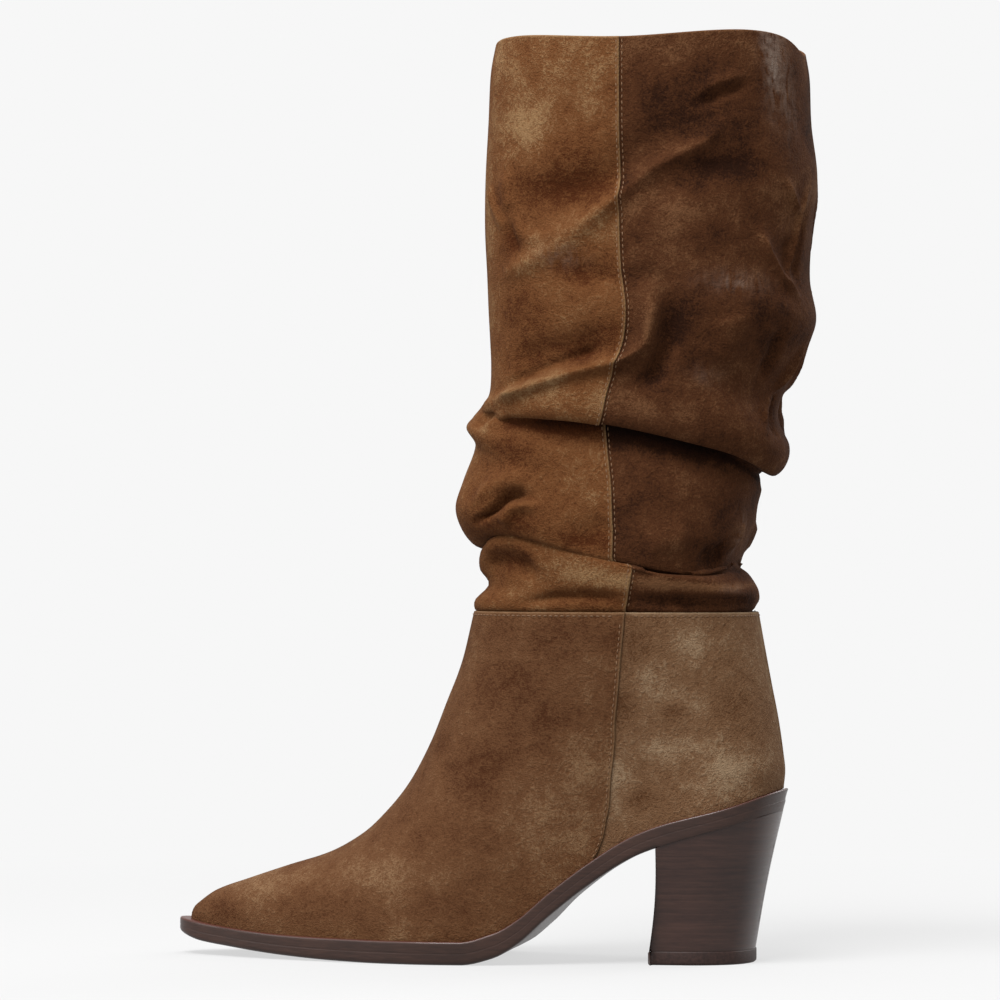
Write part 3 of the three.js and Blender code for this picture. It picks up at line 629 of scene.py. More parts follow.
def stroke(u, v, points):
    """Distance from a path on the unrolled skin, and the share of the path that is nearest."""
    near = np.full(u.shape, np.inf)
    place = np.zeros(u.shape)
    run = len(points) - 1
    for k in range(run):
        (u0, v0), (u1, v1) = points[k], points[k + 1]
        du, dv = u1 - u0, v1 - v0
        from_u = np.mod(u - u0 + HALF_ROUND, WHOLE_ROUND) - HALF_ROUND
        t = np.clip((from_u * du + (v - v0) * dv) / (du * du + dv * dv), 0, 1)
        apart = np.hypot(from_u - t * du, v - v0 - t * dv)
        place = np.where(apart < near, (k + t) / run, place)
        near = np.minimum(near, apart)
    return near, place


def crease_field(turn, level):
    """Height of all creases together at places on the shaft."""
    turn, level = matched(turn, level)
    u, v = unrolled(turn, level)
    total = np.zeros(u.shape)
    for width, height, *path in CREASES:
        for mirrored in (False, True):
            points = [unrolled(2 - at if mirrored else at, row) for at, row in path]
            near, place = stroke(u, v, points)
            fade = ease(place * CREASE_ENDS) * ease((1 - place) * CREASE_ENDS)
            depth = CREASE_DEPTH * height * (INNER_CREASES if mirrored else 1)
            total += depth * np.exp(-(near / width) ** 2) * mix(CREASE_LEAST, 1, fade)
    return total


def marks(turn, level, spots):
    """Soft spots of a table added up at places on the shaft, the same on both sides."""
    share, _ = halves(turn)
    u, v = unrolled(share, level)
    total = np.zeros(u.shape)
    for at, row, wide, high, tone in zip(*spots.values()):
        u0, v0 = unrolled(at, row)
        total += tone * np.exp(-((u - u0) / wide) ** 2 - ((v - v0) / high) ** 2)
    return total


def shaft_skin(turn, level):
    """Points of the shaft with its creases."""
    turn, level = matched(turn, level)
    points = shaft_plain(turn, level)
    normal = normal_of(shaft_plain, turn, level)
    return points + normal * crease_field(turn, level)[..., None]


def to_frame(points):
    """Millimetres from the tip of the sole become metres in the frame."""
    return points * MM + np.array([TIP, MIDDLE, 0])


# Lighter and darker spots on the foot, at millimetres along it and above the floor, on both of its
# sides
FOOT_SPOTS = table(
    "along above wide high tone",
    (155, 131, 34, 8, -0.4),
    (150, 112, 24, 14, -0.3),
    (170, 98, 12, 10, -0.5),
    (172, 82, 8, 16, 0.5),
    (152, 64, 16, 10, 0.5),
    (128, 76, 16, 12, -0.5),
    (118, 52, 26, 12, -0.3),
    (165, 50, 14, 7, 0.3),
    (92, 34, 24, 9, 0.4),
    (70, 24, 22, 8, -0.2),
    (46, 30, 14, 6, 0.6),
    (22, 18, 10, 6, -0.7),
    (110, 24, 30, 8, -0.3),
    (216, 126, 8, 8, 0.9),
    (199, 112, 8, 8, 0.9),
    (208, 106, 7, 5, 0.6),
    (209, 100, 5, 4, -0.6),
    (218, 101, 4, 5, 0.6),
    (190, 101, 8, 10, -0.7),
    (194, 125, 10, 12, -0.4),
    (234, 98, 10, 12, -0.6),
    (230, 78, 8, 7, 1.0),
    (203, 85, 8, 5, 0.7),
    (222, 88, 10, 4, 0.5),
    (186, 72, 6, 14, 0.7),
    (195, 66, 8, 6, -0.5),
    (222, 72, 20, 5, 0.3),
    (240, 120, 8, 12, 0.1),
)


def foot_marks(points):
    """Soft spots of the foot's table added up at points of its skin."""
    total = np.zeros(points.shape[:-1])
    for along, above, wide, high, tone in zip(*FOOT_SPOTS.values()):
        across = (points[..., 0] - along) / wide
        upward = (points[..., 2] - above) / high
        total += tone * np.exp(-across ** 2 - upward ** 2)
    return total


def new_object(name, bm, material):
    """Turns a bmesh into a smooth object."""
    mesh = bpy.data.meshes.new(name)
    bm.to_mesh(mesh)
    bm.free()
    mesh.shade_smooth()
    mesh.materials.append(material)
    made = bpy.data.objects.new(name, mesh)
    bpy.context.scene.collection.objects.link(made)
    return made


def new_piece(name, bm, material, nodes=()):
    """A new object that rides on the boot, in place of the solids that are named."""
    piece = new_object(name, bm, material)
    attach(piece, "root")
    if nodes:
        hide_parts(*nodes)
    return piece


def grid(columns, rows):
    """A flat grid of faces, and the place of each vertex in it as two numbers from 0 to 1."""
    bm = bmesh.new()
    bmesh.ops.create_grid(bm, x_segments=columns, y_segments=rows, size=0.5)
    flat = np.array([vert.co for vert in bm.verts])
    return bm, flat[:, 0] + 0.5, flat[:, 1] + 0.5


def set_places(bm, points):
    """Moves the vertices to points given in millimetres from the tip of the sole."""
    for vert, point in zip(bm.verts, to_frame(points)):
        vert.co = point


JOIN = 0.01                     # vertices nearer than this become one


def close_up(bm):
    """Joins edges that meet and turns all faces outwards."""
    bmesh.ops.remove_doubles(bm, verts=bm.verts, dist=JOIN * MM)
    bmesh.ops.recalc_face_normals(bm, faces=bm.faces)


EDGE_STEPS = np.array([0.12, 0.3, 0.55, 0.9])      # close rows that round an edge over


def add_wall(piece, thickness):
    """Gives an open skin its thickness, inwards."""
    wall = piece.modifiers.new("wall", "SOLIDIFY")
    wall.thickness = thickness * MM
    wall.offset = -1


def even_levels(skin, turn, low, high, spacing, close_foot=False, close_top=True):
    """Levels that lie evenly along a skin, closer at the edges that are rounded over."""
    levels, lengths = skin_length(skin, turn, low, high)
    whole = lengths[-1]
    places = np.linspace(0, whole, max(int(whole / spacing), 2) + 1)
    foot = EDGE_STEPS if close_foot else []
    top = whole - EDGE_STEPS[::-1] if close_top else []
    places = np.concatenate([places[:1], foot, places[1:-1], top, places[-1:]])
    return np.interp(places, lengths, levels)


def even_turns(low, high, count):
    """Turns at an even distance, with more at both edges that are rounded over."""
    near = EDGE_STEPS / HALF_ROUND
    middle = np.linspace(low, high, count + 1)[1:-1]
    return np.concatenate([[low], low + near, middle, high - near[::-1], [high]])


def rolled(distance, radius):
    """How far a rounded edge drops, at a distance from it."""
    inside = np.clip(radius - distance, 0, radius)
    return radius - np.sqrt(radius ** 2 - inside ** 2)


ROLL = 0.6                      # radius of a rounded edge
EDGE_FADE = 0.75                # how far in from an edge the nap is worn light
FAR = 99.0                      # stands for the distance to an edge that isn't rounded


def panel(name, skin, turns, levels, lift, thickness, material, nodes, fields_at,
          sides=True, top=True):
    """A panel of a skin, lifted off it and rounded over at its sides and its top."""
    columns, rows = len(turns) - 1, len(levels) - 1
    bm, across, upward = grid(columns, rows)
    turn = np.interp(across * columns, np.arange(columns + 1), turns)
    level = np.interp(upward * rows, np.arange(rows + 1), levels)
    points = skin(turn, level)
    net = points.reshape(rows + 1, columns + 1, 3)
    from_left = np.linalg.norm(np.diff(net, axis=1), axis=2).cumsum(axis=1)
    from_left = np.pad(from_left, ((0, 0), (1, 0)))
    from_foot = np.linalg.norm(np.diff(net, axis=0), axis=2).cumsum(axis=0)
    from_foot = np.pad(from_foot, ((1, 0), (0, 0)))
    far = np.full(net.shape[:2], FAR)
    to_side = np.minimum(from_left, from_left[:, -1:] - from_left) if sides else far
    to_top = from_foot[-1:] - from_foot if top else far
    to_edge = np.minimum(to_side, to_top).ravel()
    height = lift - rolled(to_edge, ROLL)
    set_places(bm, points + normal_of(skin, turn, level) * height[:, None])
    fields = {"edge": np.exp(-(to_edge / EDGE_FADE) ** 2)}
    fields.update(fields_at(turn, level, points))
    for field, values in fields.items():
        layer = bm.verts.layers.float.new(field)
        for vert, value in zip(bm.verts, values):
            vert[layer] = value
    piece = new_piece(name, bm, material, nodes)
    add_wall(piece, thickness)


def shaft_fields(turn, level, points):
    return {
        "crease": crease_field(turn, level),
        "nap": marks(turn, level, SHAFT_NAP_AND_SHADE),
        "grey": marks(turn, level, SHAFT_GREY),
    }


def foot_fields(turn, level, points):
    return {"nap": foot_marks(points)}


def no_fields(turn, level, points):
    return {}


UNDERLAP = 0.02                 # turns that a panel runs on under the one that laps over it
OVER_THICKNESS = 0.85           # thickness of a panel that laps over, and of one that lies under
UNDER_THICKNESS = 0.9
SKIN_STEP = 1.35                # spacing of a skin's rows
FRONT_COLUMNS = 140
BACK_COLUMNS = 144
VAMP_COLUMNS = 150
QUARTER_COLUMNS = 56
SHAFT_FOOT = -0.8               # the level where the shaft ends inside the foot

# The shaft's lining
LINING_FOLDS = 17               # below this level it hangs straight, inside the folds
LINING_SET = 14                 # and this far in from the straight line between its two ends
LINING_EASE = 6                 # at each end, it takes a sixth of the way to get that far in
LINING_SLACK = 2.5              # above that level, it stands up to this far off the skin
SLACK_ROWS = 2                  # and comes back to the skin over this many rows below the collar
LINING_COLUMNS = 220
LINING_STEP = 1.6               # spacing of its rows above the folds
LINING_ROWS = 23                # number of its rows in the folds
LINING_TOP = 0.03               # levels between its edge and the collar
LINING_DEPTH = 1.9              # how deep it lies below the skin
LINING_THICKNESS = 0.4

# The foot's lining
SOCK_COLUMNS = 120
SOCK_STEP = 3
SOCK_ENDS = 0.1                 # levels between its edges and those of the foot's skin
SOCK_DEPTH = 2
SOCK_THICKNESS = 0.6
NEAR_FRONT = 0.05               # turn where the foot's rows are evenly spaced


def lining_skin(turn, level):
    """The shaft's lining: along the skin above, a narrower straight tube within the folds."""
    turn, level = matched(turn, level)
    along = shaft_skin(turn, np.maximum(level, LINING_FOLDS))
    foot = shaft_plain(turn, np.zeros(turn.shape))
    down = np.clip((LINING_FOLDS - level) / LINING_FOLDS, 0, 1)
    straight = mix(along, foot, down[..., None])
    above = shaft_plain(0, LINING_FOLDS) + shaft_plain(1, LINING_FOLDS)
    below_folds = shaft_plain(0, 0) + shaft_plain(1, 0)
    inward = mix(above, below_folds, down[..., None]) / 2 - straight
    inward[..., 2] = 0
    inward /= np.linalg.norm(inward, axis=-1, keepdims=True)
    leave_foot = ease((1 - down) * LINING_EASE)
    pull = LINING_SET * ease(down * LINING_EASE) * leave_foot
    pull = pull + LINING_SLACK * ease((SHAFT_TOP - level) / SLACK_ROWS) * leave_foot
    return straight + inward * pull[..., None]


def make_shaft(front_suede, back_suede, lining):
    levels = even_levels(shaft_plain, SHAFT_SEAM, SHAFT_FOOT, SHAFT_TOP, SKIN_STEP)
    inner_seam = 2 - SHAFT_SEAM
    panel("shaft_front", shaft_skin, even_turns(-SHAFT_SEAM, SHAFT_SEAM, FRONT_COLUMNS), levels, 0,
          OVER_THICKNESS, front_suede, ("shaft",), shaft_fields)
    turns = even_turns(SHAFT_SEAM - UNDERLAP, inner_seam + UNDERLAP, BACK_COLUMNS)
    panel("shaft_back", shaft_skin, turns, levels, -STEP,
          UNDER_THICKNESS, back_suede, ("shaft",), shaft_fields, sides=False)
    above = even_levels(shaft_plain, SHAFT_SEAM, LINING_FOLDS, SHAFT_TOP - LINING_TOP, LINING_STEP)
    under = np.linspace(0, LINING_FOLDS, LINING_ROWS + 1)[:-1]
    turns = np.linspace(0, 2, LINING_COLUMNS + 1)
    panel("shaft_lining", lining_skin, turns, np.concatenate([under, above]), -LINING_DEPTH,
          LINING_THICKNESS, lining, ("shaft",), no_fields, sides=False)


def make_foot(vamp_suede, quarter_suede, lining):
    levels = even_levels(foot_skin, NEAR_FRONT, 0, FOOT_TOP, SKIN_STEP, close_foot=True)
    panel("vamp", foot_skin, even_turns(-SEAM_STEP, SEAM_STEP, VAMP_COLUMNS), levels, 0,
          OVER_THICKNESS, vamp_suede, ("upper",), foot_fields)
    for name, low, high in (
        ("outer_quarter", SEAM_STEP - UNDERLAP, 1),
        ("inner_quarter", 1, 2 - SEAM_STEP + UNDERLAP),
    ):
        panel(name, foot_skin, even_turns(low, high, QUARTER_COLUMNS), levels, -STEP,
              UNDER_THICKNESS, quarter_suede, ("upper",), foot_fields)
    rough = even_levels(foot_skin, NEAR_FRONT, SOCK_ENDS, FOOT_TOP - SOCK_ENDS, SOCK_STEP,
                        close_top=False)
    panel("foot_lining", foot_skin, np.linspace(0, 2, SOCK_COLUMNS + 1), rough, -SOCK_DEPTH,
          SOCK_THICKNESS, lining, ("upper",), no_fields, sides=False, top=False)


TOE_CAP = 0.08                  # shares of the sole's length where its ledge changes width
HEEL_CAP = 0.93
FINE_EDGE = 0.2                 # the tread's rounded edge is this much finer over the heel
FINE_RUN = 2                    # and becomes so over this length
SOLE_STATIONS = 160
SEAT_SLANT = 1.5                # how far the seat's edge slants in at the back, like the heel


def sole_ledge(at):
    """How far the sole stands out past the upper, at a share of its length."""
    toe = mix(TOE_LEDGE, SIDE_LEDGE, ease(at / TOE_CAP))
    return mix(toe, HEEL_LEDGE, ease((at - HEEL_CAP) / (1 - HEEL_CAP)))


def sole_edge(step, side, inset):
    """Points of the sole's outline, moved in by an inset."""
    def feather(place):
        at = length_share(place)
        return np.stack([UPPER_FRONT + UPPER_LENGTH * at, feather_y(at, side)])

    ahead, behind = np.minimum(step + NUDGE, 1), np.maximum(step - NUDGE, 0)
    along = feather(ahead) - feather(behind)
    along /= np.linalg.norm(along, axis=0)
    outward = np.stack([along[1], -along[0]]) * -side
    return feather(step) + outward * (sole_ledge(length_share(step)) - inset)


# Half a section through the sole, from the middle of its top round the edge to the middle of
# its tread: the reach from middle to edge, the inset there, the share of its thickness, the
# height over that, and how much of it is the ledge's top
SOLE_SECTION = table(
    "reach inset share over ledge",
    (0.0, 0.90, 1.0, 0.05, 1),
    (0.6, 0.90, 1.0, 0.05, 1),
    (1.0, 0.90, 1.0, 0.05, 1),
    (1.0, 0.45, 1.0, -0.02, 1),
    (1.0, 0.12, 1.0, -0.30, 0.5),
    (1.0, 0.00, 1.0, -0.80, 0),
    (1.0, 0.00, 0.8, 0.00, 0),
    (1.0, 0.00, 0.5, 0.60, 0),
    (1.0, 0.00, 0.5, 0.22, 0),
    (1.0, 0.09, 0.5, 0.00, 0),
    (1.0, 0.00, 0.5, -0.22, 0),
    (1.0, 0.00, 0.5, -0.60, 0),
    (1.0, 0.00, 0.25, 0.00, 0),
    (1.0, 0.00, 0.0, 1.30, 0),
    (1.0, 0.35, 0.0, 0.55, 0),
    (1.0, 1.00, 0.0, 0.18, 0),
    (1.0, 2.00, 0.0, 0.00, 0),
    (0.6, 2.00, 0.0, 0.00, 0),
    (0.0, 2.00, 0.0, 0.00, 0),
)


def make_sole(material):
    half = len(SOLE_SECTION["reach"]) - 1
    rows = 2 * half
    bm, across, upward = grid(SOLE_STATIONS, rows)
    row = np.round(upward * rows).astype(int)
    place = np.where(row <= half, row, rows - row)
    section = {name: column[place] for name, column in SOLE_SECTION.items()}
    share = section["share"]
    along = length_share(across)
    over_heel = ease((along * UPPER_LENGTH + UPPER_FRONT - HEEL_FRONT) / FINE_RUN)
    fine = np.where(share == 0, mix(1, FINE_EDGE, over_heel), 1)
    seat = ease((along - HEEL_CAP) / (1 - HEEL_CAP))
    inset = section["inset"] * fine + (SEAT_SLANT + HEEL_INSET) * seat * (1 - share)
    outer = sole_edge(across, -1, inset)
    inner = sole_edge(across, 1, inset)
    edge = np.where(row <= half, outer, inner)
    x, y = mix((outer + inner) / 2, edge, section["reach"])
    z = mix(tread_z(x, y), seat_z(x, y), share) + section["over"] * fine
    set_places(bm, np.stack([x, y, z], axis=1))
    ledge = bm.verts.layers.float.new("ledge")
    for vert, amount in zip(bm.verts, section["ledge"]):
        vert[ledge] = amount
    close_up(bm)
    new_piece("sole", bm, material, ("outsole",))


HEEL_AT = (HEEL_FRONT - UPPER_FRONT) / UPPER_LENGTH     # where the breast is
HEEL_TIP_FRONT = SOLE_LENGTH - HEEL_PITCH - HEEL_TIP_DEPTH
SEAT_ROUND = 6                  # powers that round the seat's corners and bring its slant in
SLANT_ROUND = 3
HEEL_SIDE = 40                  # columns from the heel's back to the corner of its breast
HEEL_BREAST = 16                # columns across the breast


def heel_round(place):
    """Share along the foot, the side, and the share across the breast, for places round the heel."""
    count = 2 * HEEL_SIDE + HEEL_BREAST
    k = np.round(place * count)
    on_breast = k > 2 * HEEL_SIDE
    wing = np.clip(np.abs(k - HEEL_SIDE) / HEEL_SIDE, 0, 1)
    first = step_share(HEEL_AT)
    at = length_share(mix(1, first, wing))
    side = np.where(k < HEEL_SIDE, -1.0, 1.0)
    across = np.where(on_breast, 1 - 2 * (k - 2 * HEEL_SIDE) / HEEL_BREAST, 1)
    return at, side, across


def breast_half(side):
    """Half the heel's width at its breast, on one side."""
    return feather_half(np.array(HEEL_AT), np.array(side)) + SIDE_LEDGE - HEEL_INSET


def heel_points(place, down, proud):
    """Places round the heel at shares of the way down it: along, across, and along at its top."""
    at, side, across = heel_round(place)
    back = np.clip((at - HEEL_AT) / (1 - HEEL_AT), 0, 1)
    half = feather_half(at, side) + (SIDE_LEDGE - HEEL_INSET) * np.sqrt(1 - back ** SEAT_ROUND)
    narrow = HEEL_TIP_WIDTH / 2 / (feather_half(HEEL_AT, side) + SIDE_LEDGE)
    top_x = HEEL_FRONT + (HEEL_DEPTH - HEEL_INSET) * back
    tip_x = HEEL_TIP_FRONT + HEEL_TIP_DEPTH * back
    slant = SEAT_SLANT * (1 - down) * back ** SLANT_ROUND
    x = mix(top_x - slant, tip_x, down) + proud * (2 * back - 1)
    y = side * (half * mix(1, narrow, down) + proud)
    inner = breast_half(1.0)
    reach = np.where(across < 0, breast_half(-1.0), inner)
    reach = reach * mix(1, HEEL_TIP_WIDTH / 2 / (inner + HEEL_INSET), down)
    y = np.where(across < 1, across * (reach + proud), y)
    return x, y, top_x


LAYER = 2.5                     # thickness of one layer of the heel
LAYER_LINE = 0.03               # depth of the line between two layers, and half its width
LAYER_WIDTH = 0.22
TOP_ROWS = 6                    # rows above the last layer, where the heel meets the tread
HEIGHT_ROUNDS = 3
RIM = 0.35                      # width of the heel's rounded edges
RIM_ANGLE = 50


def heel_heights():
    """Heights of the rows up the heel: three close ones at each line between two layers."""
    lines = np.arange(TOP_PIECE_THICKNESS + LAYER, HEEL_RISE, LAYER)
    rows = [TOP_PIECE_THICKNESS]
    for line in lines:
        rows += [line - LAYER_WIDTH, line, line + LAYER_WIDTH]
    rows += list(np.linspace(lines[-1] + 1, HEEL_RISE + SOLE_THICKNESS, TOP_ROWS))
    return np.array(rows), np.isin(rows, lines)


def close_block(bm):
    """Closes a block along its seam, at its top and at its bottom."""
    close_up(bm)
    rim = [edge for edge in bm.edges if edge.is_boundary]
    bmesh.ops.holes_fill(bm, edges=rim, sides=0)
    bmesh.ops.recalc_face_normals(bm, faces=bm.faces)


def round_rims(piece):
    """Rounds a piece's sharp edges over."""
    bevel = piece.modifiers.new("rims", "BEVEL")
    bevel.width = RIM * MM
    bevel.segments = 2
    bevel.limit_method = "ANGLE"
    bevel.angle_limit = math.radians(RIM_ANGLE)


def make_heel(material):
    heights, is_line = heel_heights()
    columns = 2 * HEEL_SIDE + HEEL_BREAST
    bm, across, upward = grid(columns, len(heights) - 1)
    row = np.round(upward * (len(heights) - 1)).astype(int)
    down = np.zeros(len(across))
    # The heel's top is the slanting tread, whose height at a place depends on how far down the
    # place is, so each round comes nearer to both
    for _ in range(HEIGHT_ROUNDS):
        _, y, top_x = heel_points(across, down, 0)
        top = tread_z(top_x, y)
        height = np.minimum(heights[row], top)
        down = (top - height) / (top - TOP_PIECE_THICKNESS)
    proud = -HEEL_HOLLOW * np.sin(np.pi * down) - LAYER_LINE * is_line[row] * (height < top)
    x, y, _ = heel_points(across, down, proud)
    set_places(bm, np.stack([x, y, height], axis=1))
    close_block(bm)
    round_rims(new_piece("stacked_heel", bm, material, ("heel",)))


# Side of the heel's lift: millimetres above the floor, and how far it stands out past the heel
LIFT_SIDE = table(
    "height proud",
    (0.00, -0.45),
    (0.25, -0.10),
    (0.70, 0.25),
    (1.20, 0.30),
    (4.90, 0.30),
    (5.25, 0.20),
    (5.40, -0.15),
)


def make_lift(material):
    rows = len(LIFT_SIDE["height"]) - 1
    bm, across, upward = grid(2 * HEEL_SIDE + HEEL_BREAST, rows)
    row = np.round(upward * rows).astype(int)
    x, y, _ = heel_points(across, 1, LIFT_SIDE["proud"][row])
    set_places(bm, np.stack([x, y, LIFT_SIDE["height"][row]], axis=1))
    close_block(bm)
    new_piece("heel_lift", bm, material, ("top_piece",))


STITCH = 2.4                    # from one stitch to the next
STITCH_LENGTH = 1.75
THREAD = 0.24                   # half the thread's width
STITCH_AIM = 0.4                # a stitch points from this far behind it to as far ahead
SWAY = 0.12                     # how askew a stitch may lie
OVER_SKIN = 0.05                # how far the thread's middle is over the skin
IN_NAP = -0.08                  # and on the shaft's front panel, where it is sunk in the nap


def add_stitches(bm, skin, turns, levels, lift):
    """Stitches along a path on a skin, lying at a height over it."""
    points = skin(turns, levels)
    run = np.concatenate([[0], np.cumsum(np.linalg.norm(np.diff(points, axis=0), axis=1))])
    places = np.arange(STITCH / 2, run[-1], STITCH)

    def spot(distance):
        return np.interp(distance, run, turns), np.interp(distance, run, levels)

    centre = skin(*spot(places))
    normal = normal_of(skin, *spot(places))
    along = skin(*spot(places + STITCH_AIM)) - skin(*spot(places - STITCH_AIM))
    along -= normal * (along * normal).sum(axis=1, keepdims=True)
    along /= np.linalg.norm(along, axis=1, keepdims=True)
    side = np.cross(normal, along)
    size = Matrix.Diagonal((STITCH_LENGTH / 2 * MM, THREAD * MM, THREAD * MM, 1))
    middles = to_frame(centre + normal * lift)
    for middle, forward, across, outward in zip(middles, along, side, normal):
        forward = Vector(forward) + Vector(across) * random.uniform(-SWAY, SWAY)
        across = Vector(outward).cross(forward)
        turned = Matrix((forward, across, Vector(outward))).transposed().to_4x4()
        matrix = Matrix.Translation(middle) @ turned @ size
        bmesh.ops.create_uvsphere(bm, u_segments=6, v_segments=5, radius=1, matrix=matrix)


def beside(skin, turn, level, distance):
    """The turn that is a distance round the skin from another turn."""
    around = skin(turn + NUDGE, level) - skin(turn - NUDGE, level)
    per_turn = np.linalg.norm(around, axis=-1) / NUDGE / 2
    return turn + distance / per_turn


def below(skin, turn, level, distance):
    """The level that is a distance down the skin from another level."""
    per_level = np.linalg.norm(skin(turn, level) - skin(turn, level - NUDGE), axis=-1) / NUDGE
    return level - distance / per_level


FRONT_ROW = 1.3                 # stitches on the shaft's front panel, from its edge
BACK_ROW = 0.9                  # and on the back panel, just past that edge
VAMP_ROW = 1.6                  # on the vamp, from its edge
TOP_ROW = 1.5                   # and round the foot, below its top edge
ROW_START = 0.3                 # levels that a row keeps from the foot of its skin
SHAFT_ROW_END = 0.1             # and from the top of it
FOOT_ROW_END = 0.35
ROUND_TURNS = 200               # steps of the row round the foot, and how many its ends keep off
ROUND_ENDS = 4


def round_the_foot(bm, low, high, lift):
    """The row of stitches below the foot's top edge, from one turn to another."""
    turns = np.linspace(low, high, ROUND_TURNS)[ROUND_ENDS:-ROUND_ENDS]
    top = np.full(turns.shape, float(FOOT_TOP))
    add_stitches(bm, foot_skin, turns, below(foot_skin, turns, top, TOP_ROW), lift)


def make_stitches(thread):
    bm = bmesh.new()
    levels = even_levels(shaft_plain, SHAFT_SEAM, ROW_START, SHAFT_TOP - SHAFT_ROW_END, 1,
                         close_top=False)
    for seam, way in ((SHAFT_SEAM, 1), (2 - SHAFT_SEAM, -1)):
        turn = np.full(levels.shape, seam)
        front = beside(shaft_plain, turn, levels, -FRONT_ROW * way)
        back = beside(shaft_plain, turn, levels, BACK_ROW * way)
        add_stitches(bm, shaft_skin, front, levels, IN_NAP)
        add_stitches(bm, shaft_skin, back, levels, OVER_SKIN - STEP)
    new_piece("shaft_stitches", bm, thread)

    bm = bmesh.new()
    levels = even_levels(foot_skin, SEAM_STEP, ROW_START, FOOT_TOP - FOOT_ROW_END, 1,
                         close_top=False)
    for seam, way in ((SEAM_STEP, 1), (2 - SEAM_STEP, -1)):
        turn = np.full(levels.shape, seam)
        front = beside(foot_skin, turn, levels, -VAMP_ROW * way)
        add_stitches(bm, foot_skin, front, levels, OVER_SKIN)
    round_the_foot(bm, -SEAM_STEP, SEAM_STEP, OVER_SKIN)
    round_the_foot(bm, SEAM_STEP, 2 - SEAM_STEP, OVER_SKIN - STEP)
    new_piece("foot_stitches", bm, thread)


class Signal:
    """A socket in a material's nodes. Arithmetic on signals adds Math nodes."""

    def __init__(self, tree, socket=None):
        self.tree = tree
        self.socket = socket

    def node(self, kind, settings=None, inputs=None, output=0):
        """Adds any other node: its settings first, then values or links for its sockets."""
        node = self.tree.nodes.new(kind)
        for name, value in (settings or {}).items():
            setattr(node, name, value)
        for name, value in (inputs or {}).items():
            if isinstance(value, Signal):
                self.tree.links.new(value.socket, node.inputs[name])
            else:
                node.inputs[name].default_value = value
        return Signal(self.tree, node.outputs[output])

    def math(self, operation, *values, clamp=False):
        """Adds a Math node, whose values may be signals or numbers."""
        settings = {"operation": operation, "use_clamp": clamp}
        return self.node("ShaderNodeMath", settings, dict(enumerate(values)))

    def __add__(self, other):
        return self.math("ADD", self, other)

    def __sub__(self, other):
        return self.math("SUBTRACT", self, other)

    def __rsub__(self, other):
        return self.math("SUBTRACT", other, self)

    def __mul__(self, other):
        return self.math("MULTIPLY", self, other)

    __radd__ = __add__
    __rmul__ = __mul__

    def clamp(self):
        return self.math("ADD", self, 0.0, clamp=True)

    def colours(self, a, b):
        """Colour a where this signal is 0, b where it is 1. A Mix node's colour sockets share their
        names with others, so they go by number."""
        settings = {"data_type": "RGBA", "clamp_factor": True}
        return self.node("ShaderNodeMix", settings, {0: self, 6: a, 7: b}, output=2)

    def ramp(self, low, high):
        """0 up to low, 1 from high on, and smooth between."""
        inputs = {"Value": self, "From Min": low, "From Max": high}
        return self.node("ShaderNodeMapRange", {"interpolation_type": "SMOOTHSTEP"}, inputs)

    def noise(self, scale, detail, roughness=0.5, distortion=0.0):
        """Noise at the places that this signal gives, from -1 to 1."""
        inputs = {"Vector": self, "Scale": scale, "Detail": detail, "Roughness": roughness,
                  "Distortion": distortion}
        return (self.node("ShaderNodeTexNoise", None, inputs) - 0.5) * 2.0

    def stretched(self, offset, scale):
        """These places moved and scaled, so that a pattern on them lies elsewhere or is drawn out."""
        inputs = {"Vector": self, "Location": offset, "Scale": scale}
        return self.node("ShaderNodeMapping", None, inputs)

    def attribute(self, name):
        """A number that the piece's vertices carry."""
        return self.node("ShaderNodeAttribute", {"attribute_name": name}, output="Fac")

    def into(self, shader, name):
        self.tree.links.new(self.socket, shader.inputs[name])


LIGHT_LEVEL = 2.2               # how much brighter than its own colour a surface looks in this light


def linear(red, green, blue):
    """A colour as seen in the studio, 0 to 255, as the values that a shader takes."""
    seen = (((value / 255 + 0.055) / 1.055) ** 2.4 for value in (red, green, blue))
    return (*(value / LIGHT_LEVEL for value in seen), 1)


def new_material(name, roughness, specular):
    """A material, its shader, and a signal of the places on the object."""
    material = bpy.data.materials.new(name)
    material.use_nodes = True
    tree = material.node_tree
    shader = tree.nodes["Principled BSDF"]
    shader.inputs["Roughness"].default_value = roughness
    shader.inputs["Specular IOR Level"].default_value = specular
    place = Signal(tree).node("ShaderNodeTexCoord", output="Object")
    return material, shader, place


def add_bump(shader, height, strength, distance):
    inputs = {"Strength": strength, "Distance": distance * MM, "Height": height}
    height.node("ShaderNodeBump", None, inputs).into(shader, "Normal")


POLISH_ROUGHNESS = 0.14


def add_polish(shader, weight):
    """A thin coat of wax."""
    shader.inputs["Coat Weight"].default_value = weight
    shader.inputs["Coat Roughness"].default_value = POLISH_ROUGHNESS


GREY = linear(136, 118, 106)
PAINTED_SHADOW_SHARE = 0.4                    # how bright the painted shadow under the lip is, beside the dark colour

# Patterns of a nap, in cells to a metre
BROAD = 24
CLOUD = 80
BRUSHED = 280
GRAIN = 850
FIBRES = 1700
STREAKS = 260
DRAWN_OUT = (1, 1, 0.3)         # streaks are drawn out up the boot


